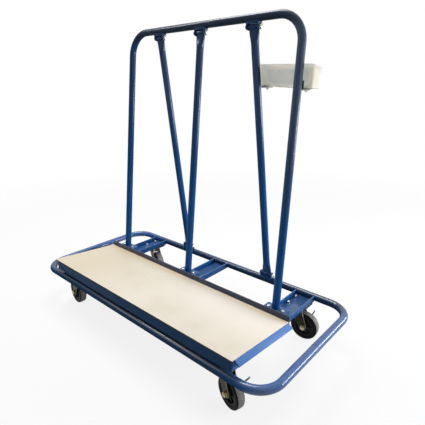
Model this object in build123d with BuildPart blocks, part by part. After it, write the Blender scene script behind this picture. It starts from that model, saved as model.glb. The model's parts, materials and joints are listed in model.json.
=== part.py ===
from build123d import *
import math
import os

os.makedirs("parts", exist_ok=True)

# Driving dimensions, in millimetres and degrees

# Frame pipe, 1 inch nominal bore
pipe_od = 33.7
pipe_wall = 3.2
weld_gap = 0.2

# Base loop, between pipe centres; its length follows the deck
loop_end_gap = 131.5
loop_width = 659.0
loop_bend = 100.0

# Cross channels, flanges up, level with the underside of the loop
caster_height = 168.0
side_inset = 91.0
centre_x = -12.0
channel_width = 100.0
channel_height = 30.0
channel_wall = 5.0
channel_bend = 4.0

# Deck board and its sloping frame of angles
deck_length = 1220.0
deck_depth = 360.5
deck_slope = 5.6
deck_rise = 95.5
deck_overhang = 5.5
board_thickness = 6.5
board_edge_round = 1.5
angle_wall = 5.0
shelf_leg = 35.0
stop_leg = 35.0
lip_leg = 40.0
stop_gap = 0.5
lip_setback = 1.0
frame_left_inset = 24.0
end_drop = 33.5
wing_width = 27.5
wing_top = 1.5
wing_fall = 33.7
wing_front = 13.7
wing_rear = 3.1

# Deck screws, driven up through the shelves
screw_d = 5.0
screw_head_d = 10.0
screw_head_height = 3.0
screw_bite = 4.5
screw_clearance = 0.5
screw_columns = 5
screw_end_gap = 70.0

# Leaning hoop and its feet
foot_gap = 5.7468
hoop_lean = 6.8
hoop_leg = 1190.0
hoop_bend = 110.0
saddle_height = 26.0
saddle_wall = 5.0
foot_thickness = 8.0
foot_width = 112.0
foot_depth = 60.0
foot_corner = 8.0
foot_bolt_pitch = 70.0

# Braces and pinned joints
brace_spacing = 229.0
ear_drop = 33.0
ear_thickness = 5.0
ear_radius = 14.0
ear_gap = 0.5
bridge_gap = 1.0
sleeve_length = 52.0
sleeve_od = 20.0
flat_thickness = 11.0
flat_inset = 1.0
flat_length = 14.0
flare_length = 60.0
bore_margin = 8.0
vent_d = 8.0
vent_inset = 16.0
pivot_d = 12.0
pivot_clearance = 0.5
pivot_head_af = 19.0
pivot_head_height = 8.0
pivot_nut_height = 10.0
pivot_tail = 4.0

# Small bolts of the feet, casters and tub
bolt_d = 8.0
bolt_head_af = 13.0
bolt_head_height = 5.3
bolt_nut_height = 6.5
bolt_tail = 3.0
bolt_clearance = 0.5
nut_clearance = 0.1

# Parts tub between the right brace and the right leg
tub_height = 965.0
tub_length = 315.0
tub_depth = 50.0
tub_wall_height = 93.0
tub_wall = 2.5
tub_taper = 2.5
tub_top_slope = 16.0
tub_left_rise = 8.0
tub_corner = 14.0
tub_rim = 3.5
tub_rim_height = 9.0
tub_shift = 3.7653
tub_setback = 34.5
arm_thickness = 5.0
arm_width = 26.0
tab_width = 15.0
tab_height = 32.0
tab_setback = 22.0

# Swivel casters
kingpin_y = 262.0
plate_x = 100.0
plate_y = 85.0
plate_thickness = 5.0
plate_corner = 6.0
plate_bolts_x = 72.0
plate_bolts_y = 66.0
race_r = 30.0
race_bore_r = 16.0
race_height = 4.0
race_skirt = 3.0
race_skirt_gap = 0.8
ball_d = 6.0
ball_count = 14
ball_gap = 0.25
kingpin_d = 14.0
kingpin_head_d = 24.0
kingpin_head_height = 7.0
kingpin_flush_height = 3.0
running_gap = 0.05
face_gap = 0.3
trail = 34.0
crown_clearance = 7.5
wheel_width = 36.0
tyre_depth = 19.0
tyre_shoulder = 6.0
rim_depth = 6.0
rim_width = 32.0
web_width = 12.0
hub_r = 18.0
bush_r = 10.0
axle_d = 12.0
axle_head_af = 19.0
axle_head_height = 7.5
axle_nut_height = 10.0
axle_tail = 3.0
fork_side_gap = 3.0
fork_wall = 4.0
fork_end_r = 17.0
fork_shoulder_r = 10.0
fork_front = 18.0
fork_rear = 18.0
crown_thickness = 11.0

# Side-lever brakes on the far ends of the right-hand axles
cam_r = 13.0
cam_thickness = 3.0
lever_thickness = 5.0
lever_hub_r = 10.0
lever_tip_r = 3.0

# How far each tub arm reaches back from its pipe, and how far back its bolt stands
tub_arms = {"left": (80.0, 59.0), "right": (60.0, 50.0)}

# Trailing direction of each caster as it stands, anticlockwise from +X
caster_corners = {
    "front_left": (-1, -1, 174.0),
    "front_right": (1, -1, -15.0),
    "rear_left": (-1, 1, -17.0),
    "rear_right": (1, 1, 6.0),
}

# How far each brace stands off its even place across the cart, at the bar and at the rear pipe
brace_shifts = {"left": (-14.0, 18.0), "right": (-6.0, 5.0)}

# Angle above level at which each brake lever stands, and its reach from the axle
brake_levers = {"front_right": (53.5, 116.0), "rear_right": (64.0, 76.0)}

# Places worked out from the driving dimensions
pipe_r = pipe_od / 2
pipe_bore_r = pipe_r - pipe_wall
loop_x = deck_length / 2 + loop_end_gap
loop_y = loop_width / 2
side_x = deck_length / 2 - side_inset
brace_x = side_x - brace_spacing
loop_z = caster_height + pipe_r
web_top = caster_height + channel_wall
flange_top = caster_height + channel_height
channel_places = {"left": -side_x, "centre": centre_x, "right": side_x}

slope_sin = math.sin(math.radians(deck_slope))
slope_cos = math.cos(math.radians(deck_slope))
deck_front_y = -loop_y - deck_overhang
deck_front_z = caster_height + deck_rise
deck_plane = Plane(
    origin=(0, deck_front_y, deck_front_z),
    x_dir=(1, 0, 0),
    z_dir=(0, slope_sin, slope_cos),
)
shelf_plane = deck_plane.offset(-board_thickness)
half_deck = deck_length / 2
frame_left = frame_left_inset - half_deck
frame_right = half_deck
frame_middle = (frame_left + frame_right) / 2
frame_length = frame_right - frame_left
shelf_length = frame_length - 2 * (angle_wall + weld_gap)
lip_back = lip_setback + angle_wall
stop_front = deck_depth + stop_gap
stop_back = stop_front + angle_wall
front_shelf_end = lip_setback + lip_leg
rear_shelf_start = stop_back - shelf_leg

hoop_foot_y = deck_front_y + stop_back * slope_cos + foot_gap + foot_depth / 2
foot_top = flange_top + saddle_height + foot_thickness
lean_sin = math.sin(math.radians(hoop_lean))
lean_cos = math.cos(math.radians(hoop_lean))
bar_y = hoop_foot_y + hoop_leg * lean_sin
bar_z = foot_top + hoop_leg * lean_cos
hoop_plane = Plane(
    origin=(0, hoop_foot_y, foot_top),
    x_dir=(1, 0, 0),
    z_dir=(0, -lean_cos, lean_sin),
)

brace_bars = {}
brace_dirs = {}
brace_tops = {}
brace_feet = {}
for place, (top_shift, foot_shift) in brace_shifts.items():
    brace_middle = brace_x if place == "right" else -brace_x
    brace_bars[place] = Vector(brace_middle + top_shift, bar_y, bar_z)
    brace_loop = Vector(brace_middle + foot_shift, loop_y, loop_z)
    brace_dirs[place] = (brace_loop - brace_bars[place]).normalized()
    brace_tops[place] = brace_bars[place] + brace_dirs[place] * ear_drop
    brace_feet[place] = brace_loop - brace_dirs[place] * ear_drop
post_dir = Vector(0, lean_sin, lean_cos)
post_top = Vector(centre_x, bar_y, bar_z) - post_dir * ear_drop
flat_half = sleeve_length / 2 - flat_inset
ear_inner = sleeve_length / 2 + ear_gap
ear_outer = ear_inner + ear_thickness
pivot_hole_r = pivot_d / 2 + pivot_clearance

plate_bottom = caster_height - plate_thickness
upper_race_z = plate_bottom - race_height
lower_race_z = upper_race_z - ball_d - 2 * ball_gap
crown_top = lower_race_z - race_height
crown_bottom = crown_top - crown_thickness
wheel_d = crown_bottom - crown_clearance
wheel_r = wheel_d / 2
fork_inner = wheel_width / 2 + fork_side_gap
fork_outer = fork_inner + fork_wall
hub_half = fork_inner - face_gap
ball_ring_r = (race_r + race_bore_r) / 2


def on_deck(along, above):
    # height and depth of a point on the deck's slope, as (y, z)
    y = deck_front_y + along * slope_cos + above * slope_sin
    z = deck_front_z - along * slope_sin + above * slope_cos
    return (y, z)


def hex_radius(across_flats):
    return across_flats / math.sqrt(3)


def save(piece, node):
    piece.part.label = node
    export_step(piece.part, f"parts/{node}.step")


# Base loop, two bent halves that meet at the middle of the short sides
for half, side in (("front", -1), ("rear", 1)):
    with BuildPart() as base_loop:
        with BuildLine() as loop_path:
            FilletPolyline(
                (loop_x, 0, loop_z),
                (loop_x, side * loop_y, loop_z),
                (-loop_x, side * loop_y, loop_z),
                (-loop_x, 0, loop_z),
                radius=loop_bend,
            )
        with BuildSketch(Plane(origin=(loop_x, 0, loop_z), z_dir=(0, side, 0))):
            Circle(pipe_r)
            Circle(pipe_bore_r, mode=Mode.SUBTRACT)
        sweep()
    save(base_loop, f"base_loop_{half}")

# Cross channels, coped to the loop at both ends and drilled for the casters
for place, x in channel_places.items():
    with BuildPart() as channel:
        channel_end = Plane(origin=(x, loop_y, caster_height), x_dir=(1, 0, 0), z_dir=(0, -1, 0))
        with BuildSketch(channel_end):
            Rectangle(channel_width, channel_height, align=(Align.CENTER, Align.MIN))
            with Locations((0, channel_wall)):
                Rectangle(
                    channel_width - 2 * channel_wall,
                    channel_height,
                    align=(Align.CENTER, Align.MIN),
                    mode=Mode.SUBTRACT,
                )
        extrude(amount=loop_width)
        fillet(channel.edges().filter_by(Axis.Y).group_by(Axis.Z)[0], radius=channel_bend)
        with Locations((x, -loop_y, loop_z), (x, loop_y, loop_z)):
            Cylinder(pipe_r + weld_gap, channel_width * 2, rotation=(0, 90, 0), mode=Mode.SUBTRACT)
        if place != "centre":
            for end in (-1, 1):
                with BuildSketch(Plane(origin=(x, end * kingpin_y, caster_height))):
                    with GridLocations(plate_bolts_x, plate_bolts_y, 2, 2):
                        Circle(bolt_d / 2 + bolt_clearance)
                extrude(amount=channel_wall, mode=Mode.SUBTRACT)
    save(channel, f"{place}_channel")

# Deck board, with blind pilot holes for the screws
screw_rows = (lip_setback + lip_leg / 2, stop_back - shelf_leg / 2)
screw_first = -half_deck + screw_end_gap
screw_pitch = (deck_length - 2 * screw_end_gap) / (screw_columns - 1)
screw_places = [
    (screw_first + column * screw_pitch, row) for column in range(screw_columns) for row in screw_rows
]
with BuildPart() as deck_board:
    with BuildSketch(deck_plane):
        Rectangle(deck_length, deck_depth, align=(Align.CENTER, Align.MIN))
    extrude(amount=-board_thickness)
    fillet(deck_board.faces().sort_by(Axis.Z)[-1].edges(), radius=board_edge_round)
    with BuildSketch(shelf_plane):
        with Locations(*screw_places):
            Circle(screw_d / 2 + nut_clearance)
    extrude(amount=screw_bite, mode=Mode.SUBTRACT)
save(deck_board, "deck_board")

# Front angle: a shelf under the board and a lip that hangs down along its front
with BuildPart() as front_angle:
    with BuildSketch(shelf_plane):
        with Locations((frame_middle, lip_setback)):
            Rectangle(frame_length, angle_wall, align=(Align.CENTER, Align.MIN))
    extrude(amount=-lip_leg)
    with BuildSketch(shelf_plane):
        with Locations((frame_middle, lip_setback)):
            Rectangle(shelf_length, lip_leg, align=(Align.CENTER, Align.MIN))
    extrude(amount=-angle_wall)
    with BuildSketch(shelf_plane):
        with Locations(*[place for place in screw_places if place[1] == screw_rows[0]]):
            Circle(screw_d / 2 + screw_clearance)
    extrude(amount=-angle_wall, mode=Mode.SUBTRACT)
save(front_angle, "front_angle")

# Rear angle: a shelf under the board and a stop that stands behind it
with BuildPart() as rear_angle:
    with BuildSketch(shelf_plane.offset(-angle_wall)):
        with Locations((0, stop_front)):
            Rectangle(deck_length, angle_wall, align=(Align.CENTER, Align.MIN))
    extrude(amount=stop_leg)
    with BuildSketch(shelf_plane):
        with Locations((frame_middle, rear_shelf_start)):
            Rectangle(shelf_length, shelf_leg, align=(Align.CENTER, Align.MIN))
    extrude(amount=-angle_wall)
    with BuildSketch(shelf_plane):
        with Locations(*[place for place in screw_places if place[1] == screw_rows[1]]):
            Circle(screw_d / 2 + screw_clearance)
    extrude(amount=-angle_wall, mode=Mode.SUBTRACT)
save(rear_angle, "rear_angle")

# End angles: an upright leg under each end of the board and a wing that slopes down and out;
# the right-hand wing also covers the end of the board
end_front = lip_back + weld_gap
end_length = stop_front - weld_gap - end_front
wing_length = deck_depth - wing_rear - wing_front
wing_cos = math.cos(math.radians(wing_fall))
wing_sin = math.sin(math.radians(wing_fall))
wing_out = wing_width * wing_cos
wing_root = -board_thickness - angle_wall / wing_cos
for place, side, edge, wing_start in (
    ("left", -1, frame_left, -board_thickness),
    ("right", 1, frame_right, -wing_top),
):
    wing_tip = wing_start - wing_width * wing_sin
    wing_section = [
        (0, wing_start),
        (wing_out, wing_tip),
        (wing_out - angle_wall * wing_sin, wing_tip - angle_wall * wing_cos),
        (0, wing_root),
    ]
    with BuildPart() as end_angle:
        with BuildSketch(shelf_plane):
            with Locations((edge - side * angle_wall / 2, end_front)):
                Rectangle(angle_wall, end_length, align=(Align.CENTER, Align.MIN))
        extrude(amount=-end_drop)
        wing_plane = Plane(
            origin=deck_plane.from_local_coords(Vector(edge, wing_front, 0)),
            x_dir=(1, 0, 0),
            z_dir=-deck_plane.y_dir,
        )
        with BuildSketch(wing_plane):
            with BuildLine():
                Polyline(*[(side * out, rise) for out, rise in wing_section], close=True)
            make_face()
        extrude(amount=-wing_length)
    save(end_angle, f"{place}_end_angle")

# Ribs on the channel flanges, cut to the slope and notched for the shelves
rib_front_y = -loop_y + pipe_r + weld_gap
rib_top_along = (rib_front_y - deck_front_y + (board_thickness + angle_wall) * slope_sin) / slope_cos
under_shelf = -board_thickness - angle_wall
under_board = -board_thickness
rib_back = on_deck(stop_back, under_shelf)
rib_outline = [
    (rib_front_y, flange_top),
    on_deck(rib_top_along, under_shelf),
    on_deck(front_shelf_end + weld_gap, under_shelf),
    on_deck(front_shelf_end + weld_gap, under_board),
    on_deck(rear_shelf_start - weld_gap, under_board),
    on_deck(rear_shelf_start - weld_gap, under_shelf),
    rib_back,
    (rib_back[0], flange_top),
]
rib_x = channel_width / 2 - channel_wall / 2
with BuildPart() as deck_ribs:
    for x in channel_places.values():
        for side in (-1, 1):
            with BuildSketch(Plane.YZ.offset(x + side * rib_x)):
                with BuildLine():
                    Polyline(*rib_outline, close=True)
                make_face()
            extrude(amount=channel_wall / 2, both=True)
save(deck_ribs, "deck_ribs")

# Deck screws, heads under the shelves
with BuildPart() as deck_screws:
    with BuildSketch(shelf_plane.offset(-angle_wall)):
        with Locations(*screw_places):
            Circle(screw_head_d / 2)
    extrude(amount=-screw_head_height)
    with BuildSketch(shelf_plane.offset(-angle_wall)):
        with Locations(*screw_places):
            Circle(screw_d / 2)
    extrude(amount=angle_wall + screw_bite - screw_clearance)
save(deck_screws, "deck_screws")

# Hoop, one pipe bent twice and cut level where its legs meet the foot plates
leg_overlap = pipe_od
with BuildPart() as hoop:
    with BuildLine(hoop_plane) as hoop_path:
        FilletPolyline(
            (-side_x, -leg_overlap),
            (-side_x, hoop_leg),
            (side_x, hoop_leg),
            (side_x, -leg_overlap),
            radius=hoop_bend,
        )
    with BuildSketch(Plane(origin=hoop_path.line @ 0, z_dir=hoop_path.line % 0)):
        Circle(pipe_r)
        Circle(pipe_bore_r, mode=Mode.SUBTRACT)
    sweep()
    split(bisect_by=Plane.XY.offset(foot_top), keep=Keep.TOP)
save(hoop, "hoop")

# Centre post in the plane of the hoop, with a flattened top and a cross sleeve
post_length = hoop_leg - ear_drop
post_round = post_length - flat_length - flare_length
with BuildPart() as centre_post:
    post_foot = Plane(
        origin=Vector(centre_x, hoop_foot_y, foot_top) - post_dir * leg_overlap,
        x_dir=(1, 0, 0),
        z_dir=post_dir,
    )
    with BuildSketch(post_foot):
        Circle(pipe_r)
    extrude(amount=leg_overlap + post_round)
    with BuildSketch(post_foot.offset(leg_overlap + post_round)):
        Circle(pipe_r)
    with BuildSketch(post_foot.offset(leg_overlap + post_round + flare_length)):
        Ellipse(flat_half, flat_thickness / 2)
    loft()
    with BuildSketch(post_foot.offset(leg_overlap + post_round + flare_length)):
        Ellipse(flat_half, flat_thickness / 2)
    extrude(amount=flat_length)
    with BuildSketch(Plane.YZ.offset(centre_x)):
        with Locations((post_top.Y, post_top.Z)):
            Circle(sleeve_od / 2)
    extrude(amount=sleeve_length / 2, both=True)
    with BuildSketch(Plane.YZ.offset(centre_x)):
        with Locations((post_top.Y, post_top.Z)):
            Circle(pivot_hole_r)
    extrude(amount=sleeve_length, both=True, mode=Mode.SUBTRACT)
    with BuildSketch(post_foot):
        Circle(pipe_bore_r)
    extrude(amount=leg_overlap + post_round - bore_margin, mode=Mode.SUBTRACT)
    vent_plane = Plane(
        origin=post_foot.offset(leg_overlap + post_round - bore_margin - vent_inset).origin,
        x_dir=(1, 0, 0),
        z_dir=hoop_plane.z_dir,
    )
    with BuildSketch(vent_plane):
        Circle(vent_d / 2)
    extrude(amount=pipe_od, mode=Mode.SUBTRACT)
    split(bisect_by=Plane.XY.offset(foot_top), keep=Keep.TOP)
save(centre_post, "centre_post")

# Braces from the bar to the rear pipe, flattened at both ends
brace_inset = flat_length + flare_length
for place, brace_top in brace_tops.items():
    brace_foot = brace_feet[place]
    brace_span = (brace_foot - brace_top).length
    with BuildPart() as brace:
        brace_plane = Plane(origin=brace_top, x_dir=(1, 0, 0), z_dir=brace_dirs[place])
        with BuildSketch(brace_plane.offset(brace_inset)):
            Circle(pipe_r)
        extrude(amount=brace_span - 2 * brace_inset)
        for round_at, flat_at, sleeve_at in (
            (brace_inset, flat_length, 0),
            (brace_span - brace_inset, brace_span - flat_length, brace_span),
        ):
            with BuildSketch(brace_plane.offset(round_at)):
                Circle(pipe_r)
            with BuildSketch(brace_plane.offset(flat_at)):
                Ellipse(flat_half, flat_thickness / 2)
            loft()
            with BuildSketch(brace_plane.offset(flat_at)):
                Ellipse(flat_half, flat_thickness / 2)
            extrude(amount=sleeve_at - flat_at)
        for end in (brace_top, brace_foot):
            with BuildSketch(Plane.YZ.offset(end.X)):
                with Locations((end.Y, end.Z)):
                    Circle(sleeve_od / 2)
            extrude(amount=sleeve_length / 2, both=True)
            with BuildSketch(Plane.YZ.offset(end.X)):
                with Locations((end.Y, end.Z)):
                    Circle(pivot_hole_r)
            extrude(amount=sleeve_length, both=True, mode=Mode.SUBTRACT)
        with BuildSketch(brace_plane.offset(brace_inset + bore_margin)):
            Circle(pipe_bore_r)
        extrude(amount=brace_span - 2 * (brace_inset + bore_margin), mode=Mode.SUBTRACT)
        vent_plane = Plane(
            origin=brace_plane.offset(brace_inset + bore_margin + vent_inset).origin,
            x_dir=(1, 0, 0),
            z_dir=brace_plane.y_dir if brace_plane.y_dir.Y > 0 else -brace_plane.y_dir,
        )
        with BuildSketch(vent_plane):
            Circle(vent_d / 2)
        extrude(amount=pipe_od, mode=Mode.SUBTRACT)
    save(brace, f"{place}_brace")

# Ears in pairs, bridged and coped to the pipe that they hang from
bridge_start = sleeve_od / 2 + bridge_gap
top_joints = [brace_tops["left"], post_top, brace_tops["right"]]
rear_joints = [brace_feet["left"], brace_feet["right"]]
for node, joints, pipe_y, pipe_z in (
    ("top_ears", top_joints, bar_y, bar_z),
    ("rear_ears", rear_joints, loop_y, loop_z),
):
    with BuildPart() as ears:
        for pivot in joints:
            ear_turn = math.degrees(math.atan2(pipe_z - pivot.Z, pipe_y - pivot.Y))
            for ear_x in (pivot.X - ear_outer, pivot.X + ear_inner):
                with BuildSketch(Plane.YZ.offset(ear_x)):
                    with Locations((pivot.Y, pivot.Z)):
                        Circle(ear_radius)
                    with Locations(Location((pivot.Y, pivot.Z, 0), (0, 0, ear_turn))):
                        Rectangle(ear_drop, 2 * ear_radius, align=(Align.MIN, Align.CENTER))
                    with Locations((pivot.Y, pivot.Z)):
                        Circle(pivot_hole_r, mode=Mode.SUBTRACT)
                    with Locations((pipe_y, pipe_z)):
                        Circle(pipe_r + weld_gap, mode=Mode.SUBTRACT)
                extrude(amount=ear_thickness)
            with BuildSketch(Plane.YZ.offset(pivot.X - ear_inner)):
                with Locations(Location((pivot.Y, pivot.Z, 0), (0, 0, ear_turn))):
                    with Locations((bridge_start, 0)):
                        Rectangle(ear_drop - bridge_start, 2 * ear_radius, align=(Align.MIN, Align.CENTER))
                with Locations((pipe_y, pipe_z)):
                    Circle(pipe_r + weld_gap, mode=Mode.SUBTRACT)
            extrude(amount=2 * ear_inner)
    save(ears, node)

# Pivot bolts, heads to the left, and their nuts
all_joints = top_joints + rear_joints
pivot_shank = 2 * ear_outer + pivot_nut_height + pivot_tail
with BuildPart() as joint_bolts:
    for pivot in all_joints:
        with BuildSketch(Plane.YZ.offset(pivot.X - ear_outer)):
            with Locations((pivot.Y, pivot.Z)):
                RegularPolygon(hex_radius(pivot_head_af), 6)
        extrude(amount=-pivot_head_height)
        with BuildSketch(Plane.YZ.offset(pivot.X - ear_outer)):
            with Locations((pivot.Y, pivot.Z)):
                Circle(pivot_d / 2)
        extrude(amount=pivot_shank)
save(joint_bolts, "joint_bolts")

with BuildPart() as joint_nuts:
    for pivot in all_joints:
        with BuildSketch(Plane.YZ.offset(pivot.X + ear_outer)):
            with Locations((pivot.Y, pivot.Z)):
                RegularPolygon(hex_radius(pivot_head_af), 6)
                Circle(pivot_d / 2 + nut_clearance, mode=Mode.SUBTRACT)
        extrude(amount=pivot_nut_height)
save(joint_nuts, "joint_nuts")

# Feet: saddles bridge the channel flanges and plates are bolted on top of them
saddle_top = flange_top + saddle_height
with BuildPart() as foot_saddles:
    for x in channel_places.values():
        saddle_end = Plane(
            origin=(x, hoop_foot_y + foot_depth / 2, flange_top), x_dir=(1, 0, 0), z_dir=(0, -1, 0)
        )
        with BuildSketch(saddle_end):
            Rectangle(channel_width, saddle_height, align=(Align.CENTER, Align.MIN))
            Rectangle(
                channel_width - 2 * saddle_wall,
                saddle_height - saddle_wall,
                align=(Align.CENTER, Align.MIN),
                mode=Mode.SUBTRACT,
            )
        extrude(amount=foot_depth)
        with BuildSketch(Plane(origin=(x, hoop_foot_y, saddle_top))):
            with GridLocations(foot_bolt_pitch, 1, 2, 1):
                Circle(bolt_d / 2 + bolt_clearance)
        extrude(amount=-saddle_wall, mode=Mode.SUBTRACT)
save(foot_saddles, "foot_saddles")

with BuildPart() as foot_plates:
    for x in channel_places.values():
        with BuildSketch(Plane(origin=(x, hoop_foot_y, saddle_top))):
            RectangleRounded(foot_width, foot_depth, foot_corner)
            with GridLocations(foot_bolt_pitch, 1, 2, 1):
                Circle(bolt_d / 2 + bolt_clearance, mode=Mode.SUBTRACT)
        extrude(amount=foot_thickness)
save(foot_plates, "foot_plates")

# Foot bolts, heads up, with nuts under the saddles
foot_grip = foot_thickness + saddle_wall
with BuildPart() as foot_bolts:
    for x in channel_places.values():
        with BuildSketch(Plane(origin=(x, hoop_foot_y, foot_top))):
            with GridLocations(foot_bolt_pitch, 1, 2, 1):
                RegularPolygon(hex_radius(bolt_head_af), 6)
        extrude(amount=bolt_head_height)
        with BuildSketch(Plane(origin=(x, hoop_foot_y, foot_top))):
            with GridLocations(foot_bolt_pitch, 1, 2, 1):
                Circle(bolt_d / 2)
        extrude(amount=-(foot_grip + bolt_nut_height + bolt_tail))
save(foot_bolts, "foot_bolts")

with BuildPart() as foot_nuts:
    for x in channel_places.values():
        with BuildSketch(Plane(origin=(x, hoop_foot_y, foot_top - foot_grip))):
            with GridLocations(foot_bolt_pitch, 1, 2, 1):
                RegularPolygon(hex_radius(bolt_head_af), 6)
                Circle(bolt_d / 2 + nut_clearance, mode=Mode.SUBTRACT)
        extrude(amount=-bolt_nut_height)
save(foot_nuts, "foot_nuts")

# Parts tub, in line with the right brace and the right leg, on two arms
tub_z = caster_height + tub_height
leg_y = hoop_foot_y + (tub_z - foot_top) * lean_sin / lean_cos
left_arm_z = tub_z + tub_left_rise
tub_brace_dir = brace_dirs["right"]
leg_at_tub = Vector(side_x, leg_y, tub_z)
brace_at_tub = brace_bars["right"] + tub_brace_dir * ((left_arm_z - bar_z) / tub_brace_dir.Z)
tub_line = leg_at_tub - brace_at_tub
tub_rear = Vector(0, 0, 1).cross(tub_line)
tub_plane = Plane(origin=leg_at_tub, x_dir=tub_line, z_dir=tub_line.cross(tub_rear))
tub_spread = tub_wall_height * math.tan(math.radians(tub_taper))
tub_middle = tub_shift - tub_line.length / 2
tub_back = tub_setback + tub_depth / 2
tub_arm_x = {"left": -tub_line.length, "right": 0}
tub_bolt_places = [(tub_arm_x[place], bolt_back) for place, (reach, bolt_back) in tub_arms.items()]
slope_ratio = math.sin(math.radians(tub_top_slope))
tub_top = Plane(
    origin=tub_plane.from_local_coords(Vector(tub_middle, tub_setback, tub_wall_height)),
    x_dir=tub_line,
    z_dir=tub_plane.y_dir * slope_ratio + tub_plane.z_dir * math.cos(math.radians(tub_top_slope)),
)
with BuildPart() as parts_tub:
    with BuildSketch(tub_plane):
        with Locations((tub_middle, tub_back)):
            RectangleRounded(tub_length - 2 * tub_spread, tub_depth - 2 * tub_spread, tub_corner)
    extrude(amount=tub_wall_height, taper=-tub_taper)
    with BuildSketch(tub_top):
        with Locations((0, tub_depth / 2)):
            RectangleRounded(tub_length + 2 * tub_rim, tub_depth + 2 * tub_rim, tub_corner + tub_rim)
    extrude(amount=-tub_rim_height)
    split(bisect_by=tub_top, keep=Keep.BOTTOM)
    inner_spread = tub_spread + tub_wall
    with BuildSketch(tub_plane.offset(tub_wall)):
        with Locations((tub_middle, tub_back)):
            RectangleRounded(
                tub_length - 2 * inner_spread, tub_depth - 2 * inner_spread, tub_corner - tub_wall
            )
    extrude(amount=tub_wall_height, taper=-tub_taper, mode=Mode.SUBTRACT)
    with BuildSketch(tub_plane):
        with Locations(*tub_bolt_places):
            Circle(bolt_d / 2 + bolt_clearance)
    extrude(amount=tub_wall, mode=Mode.SUBTRACT)
save(parts_tub, "parts_tub")

# Tub arms: a flat bar coped round its pipe, with an upright tab behind the leg
for place, run, at in (("left", tub_brace_dir, brace_at_tub), ("right", post_dir, leg_at_tub)):
    arm_reach, bolt_back = tub_arms[place]
    with BuildPart() as tub_arm:
        with BuildSketch(tub_plane):
            with Locations((tub_arm_x[place], 0)):
                Rectangle(arm_width, arm_reach, align=(Align.CENTER, Align.MIN))
        extrude(amount=-arm_thickness)
        if place == "right":
            with BuildSketch(tub_plane):
                with Locations((tub_arm_x[place], tab_setback)):
                    Rectangle(tab_width, arm_thickness, align=(Align.CENTER, Align.MIN))
            extrude(amount=tab_height)
        with BuildSketch(Plane(origin=at - run * pipe_od * 2, z_dir=run)):
            Circle(pipe_r + weld_gap)
        extrude(amount=pipe_od * 4, mode=Mode.SUBTRACT)
        with BuildSketch(tub_plane):
            with Locations((tub_arm_x[place], bolt_back)):
                Circle(bolt_d / 2 + bolt_clearance)
        extrude(amount=-arm_thickness, mode=Mode.SUBTRACT)
    save(tub_arm, f"{place}_tub_arm")

# Tub bolts, heads inside the tub, with nuts under the arms
with BuildPart() as tub_bolts:
    with BuildSketch(tub_plane.offset(tub_wall)):
        with Locations(*tub_bolt_places):
            RegularPolygon(hex_radius(bolt_head_af), 6)
    extrude(amount=bolt_head_height)
    with BuildSketch(tub_plane.offset(tub_wall)):
        with Locations(*tub_bolt_places):
            Circle(bolt_d / 2)
    extrude(amount=-(tub_wall + arm_thickness + bolt_nut_height + bolt_tail))
save(tub_bolts, "tub_bolts")

with BuildPart() as tub_nuts:
    with BuildSketch(tub_plane.offset(-arm_thickness)):
        with Locations(*tub_bolt_places):
            RegularPolygon(hex_radius(bolt_head_af), 6)
            Circle(bolt_d / 2 + nut_clearance, mode=Mode.SUBTRACT)
    extrude(amount=-bolt_nut_height)
save(tub_nuts, "tub_nuts")

# Caster top plates with the upper race and its skirt, one to each corner
caster_places = [
    (x_side * side_x, y_side * kingpin_y) for x_side, y_side, turn in caster_corners.values()
]
skirt_r = race_r + race_skirt_gap
with BuildPart() as caster_plates:
    with BuildSketch(Plane.XY.offset(plate_bottom)):
        with Locations(*caster_places):
            RectangleRounded(plate_x, plate_y, plate_corner)
    extrude(amount=plate_thickness)
    with BuildSketch(Plane.XY.offset(plate_bottom)):
        with Locations(*caster_places):
            Circle(skirt_r + race_skirt)
    extrude(amount=-race_height)
    with BuildSketch(Plane.XY.offset(upper_race_z)):
        with Locations(*caster_places):
            Circle(skirt_r + race_skirt)
            Circle(skirt_r, mode=Mode.SUBTRACT)
    extrude(amount=-(ball_d + ball_gap))
    with BuildSketch(Plane.XY.offset(upper_race_z)):
        with Locations(*caster_places):
            Circle(kingpin_d / 2 + nut_clearance)
    extrude(amount=race_height + plate_thickness, mode=Mode.SUBTRACT)
    with BuildSketch(Plane.XY.offset(caster_height - kingpin_flush_height)):
        with Locations(*caster_places):
            Circle(kingpin_head_d / 2 + nut_clearance)
    extrude(amount=kingpin_flush_height, mode=Mode.SUBTRACT)
    for x, y in caster_places:
        with BuildSketch(Plane(origin=(x, y, plate_bottom))):
            with GridLocations(plate_bolts_x, plate_bolts_y, 2, 2):
                Circle(bolt_d / 2 + bolt_clearance)
        extrude(amount=plate_thickness, mode=Mode.SUBTRACT)
save(caster_plates, "caster_plates")

# Kingpins, riveted in the plates, with a head under each fork
kingpin_foot = crown_bottom - face_gap
with BuildPart() as kingpins:
    with BuildSketch(Plane.XY.offset(kingpin_foot)):
        with Locations(*caster_places):
            Circle(kingpin_d / 2)
    extrude(amount=caster_height - kingpin_foot)
    with BuildSketch(Plane.XY.offset(kingpin_foot)):
        with Locations(*caster_places):
            Circle(kingpin_head_d / 2)
    extrude(amount=-kingpin_head_height)
    with BuildSketch(Plane.XY.offset(caster_height)):
        with Locations(*caster_places):
            Circle(kingpin_head_d / 2)
    extrude(amount=-(kingpin_flush_height - nut_clearance))
save(kingpins, "kingpins")

# Ball rings between the races
with BuildPart() as swivel_balls:
    for x, y in caster_places:
        with Locations((x, y, upper_race_z - ball_gap - ball_d / 2)):
            with PolarLocations(ball_ring_r, ball_count):
                Sphere(ball_d / 2)
save(swivel_balls, "swivel_balls")

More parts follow.
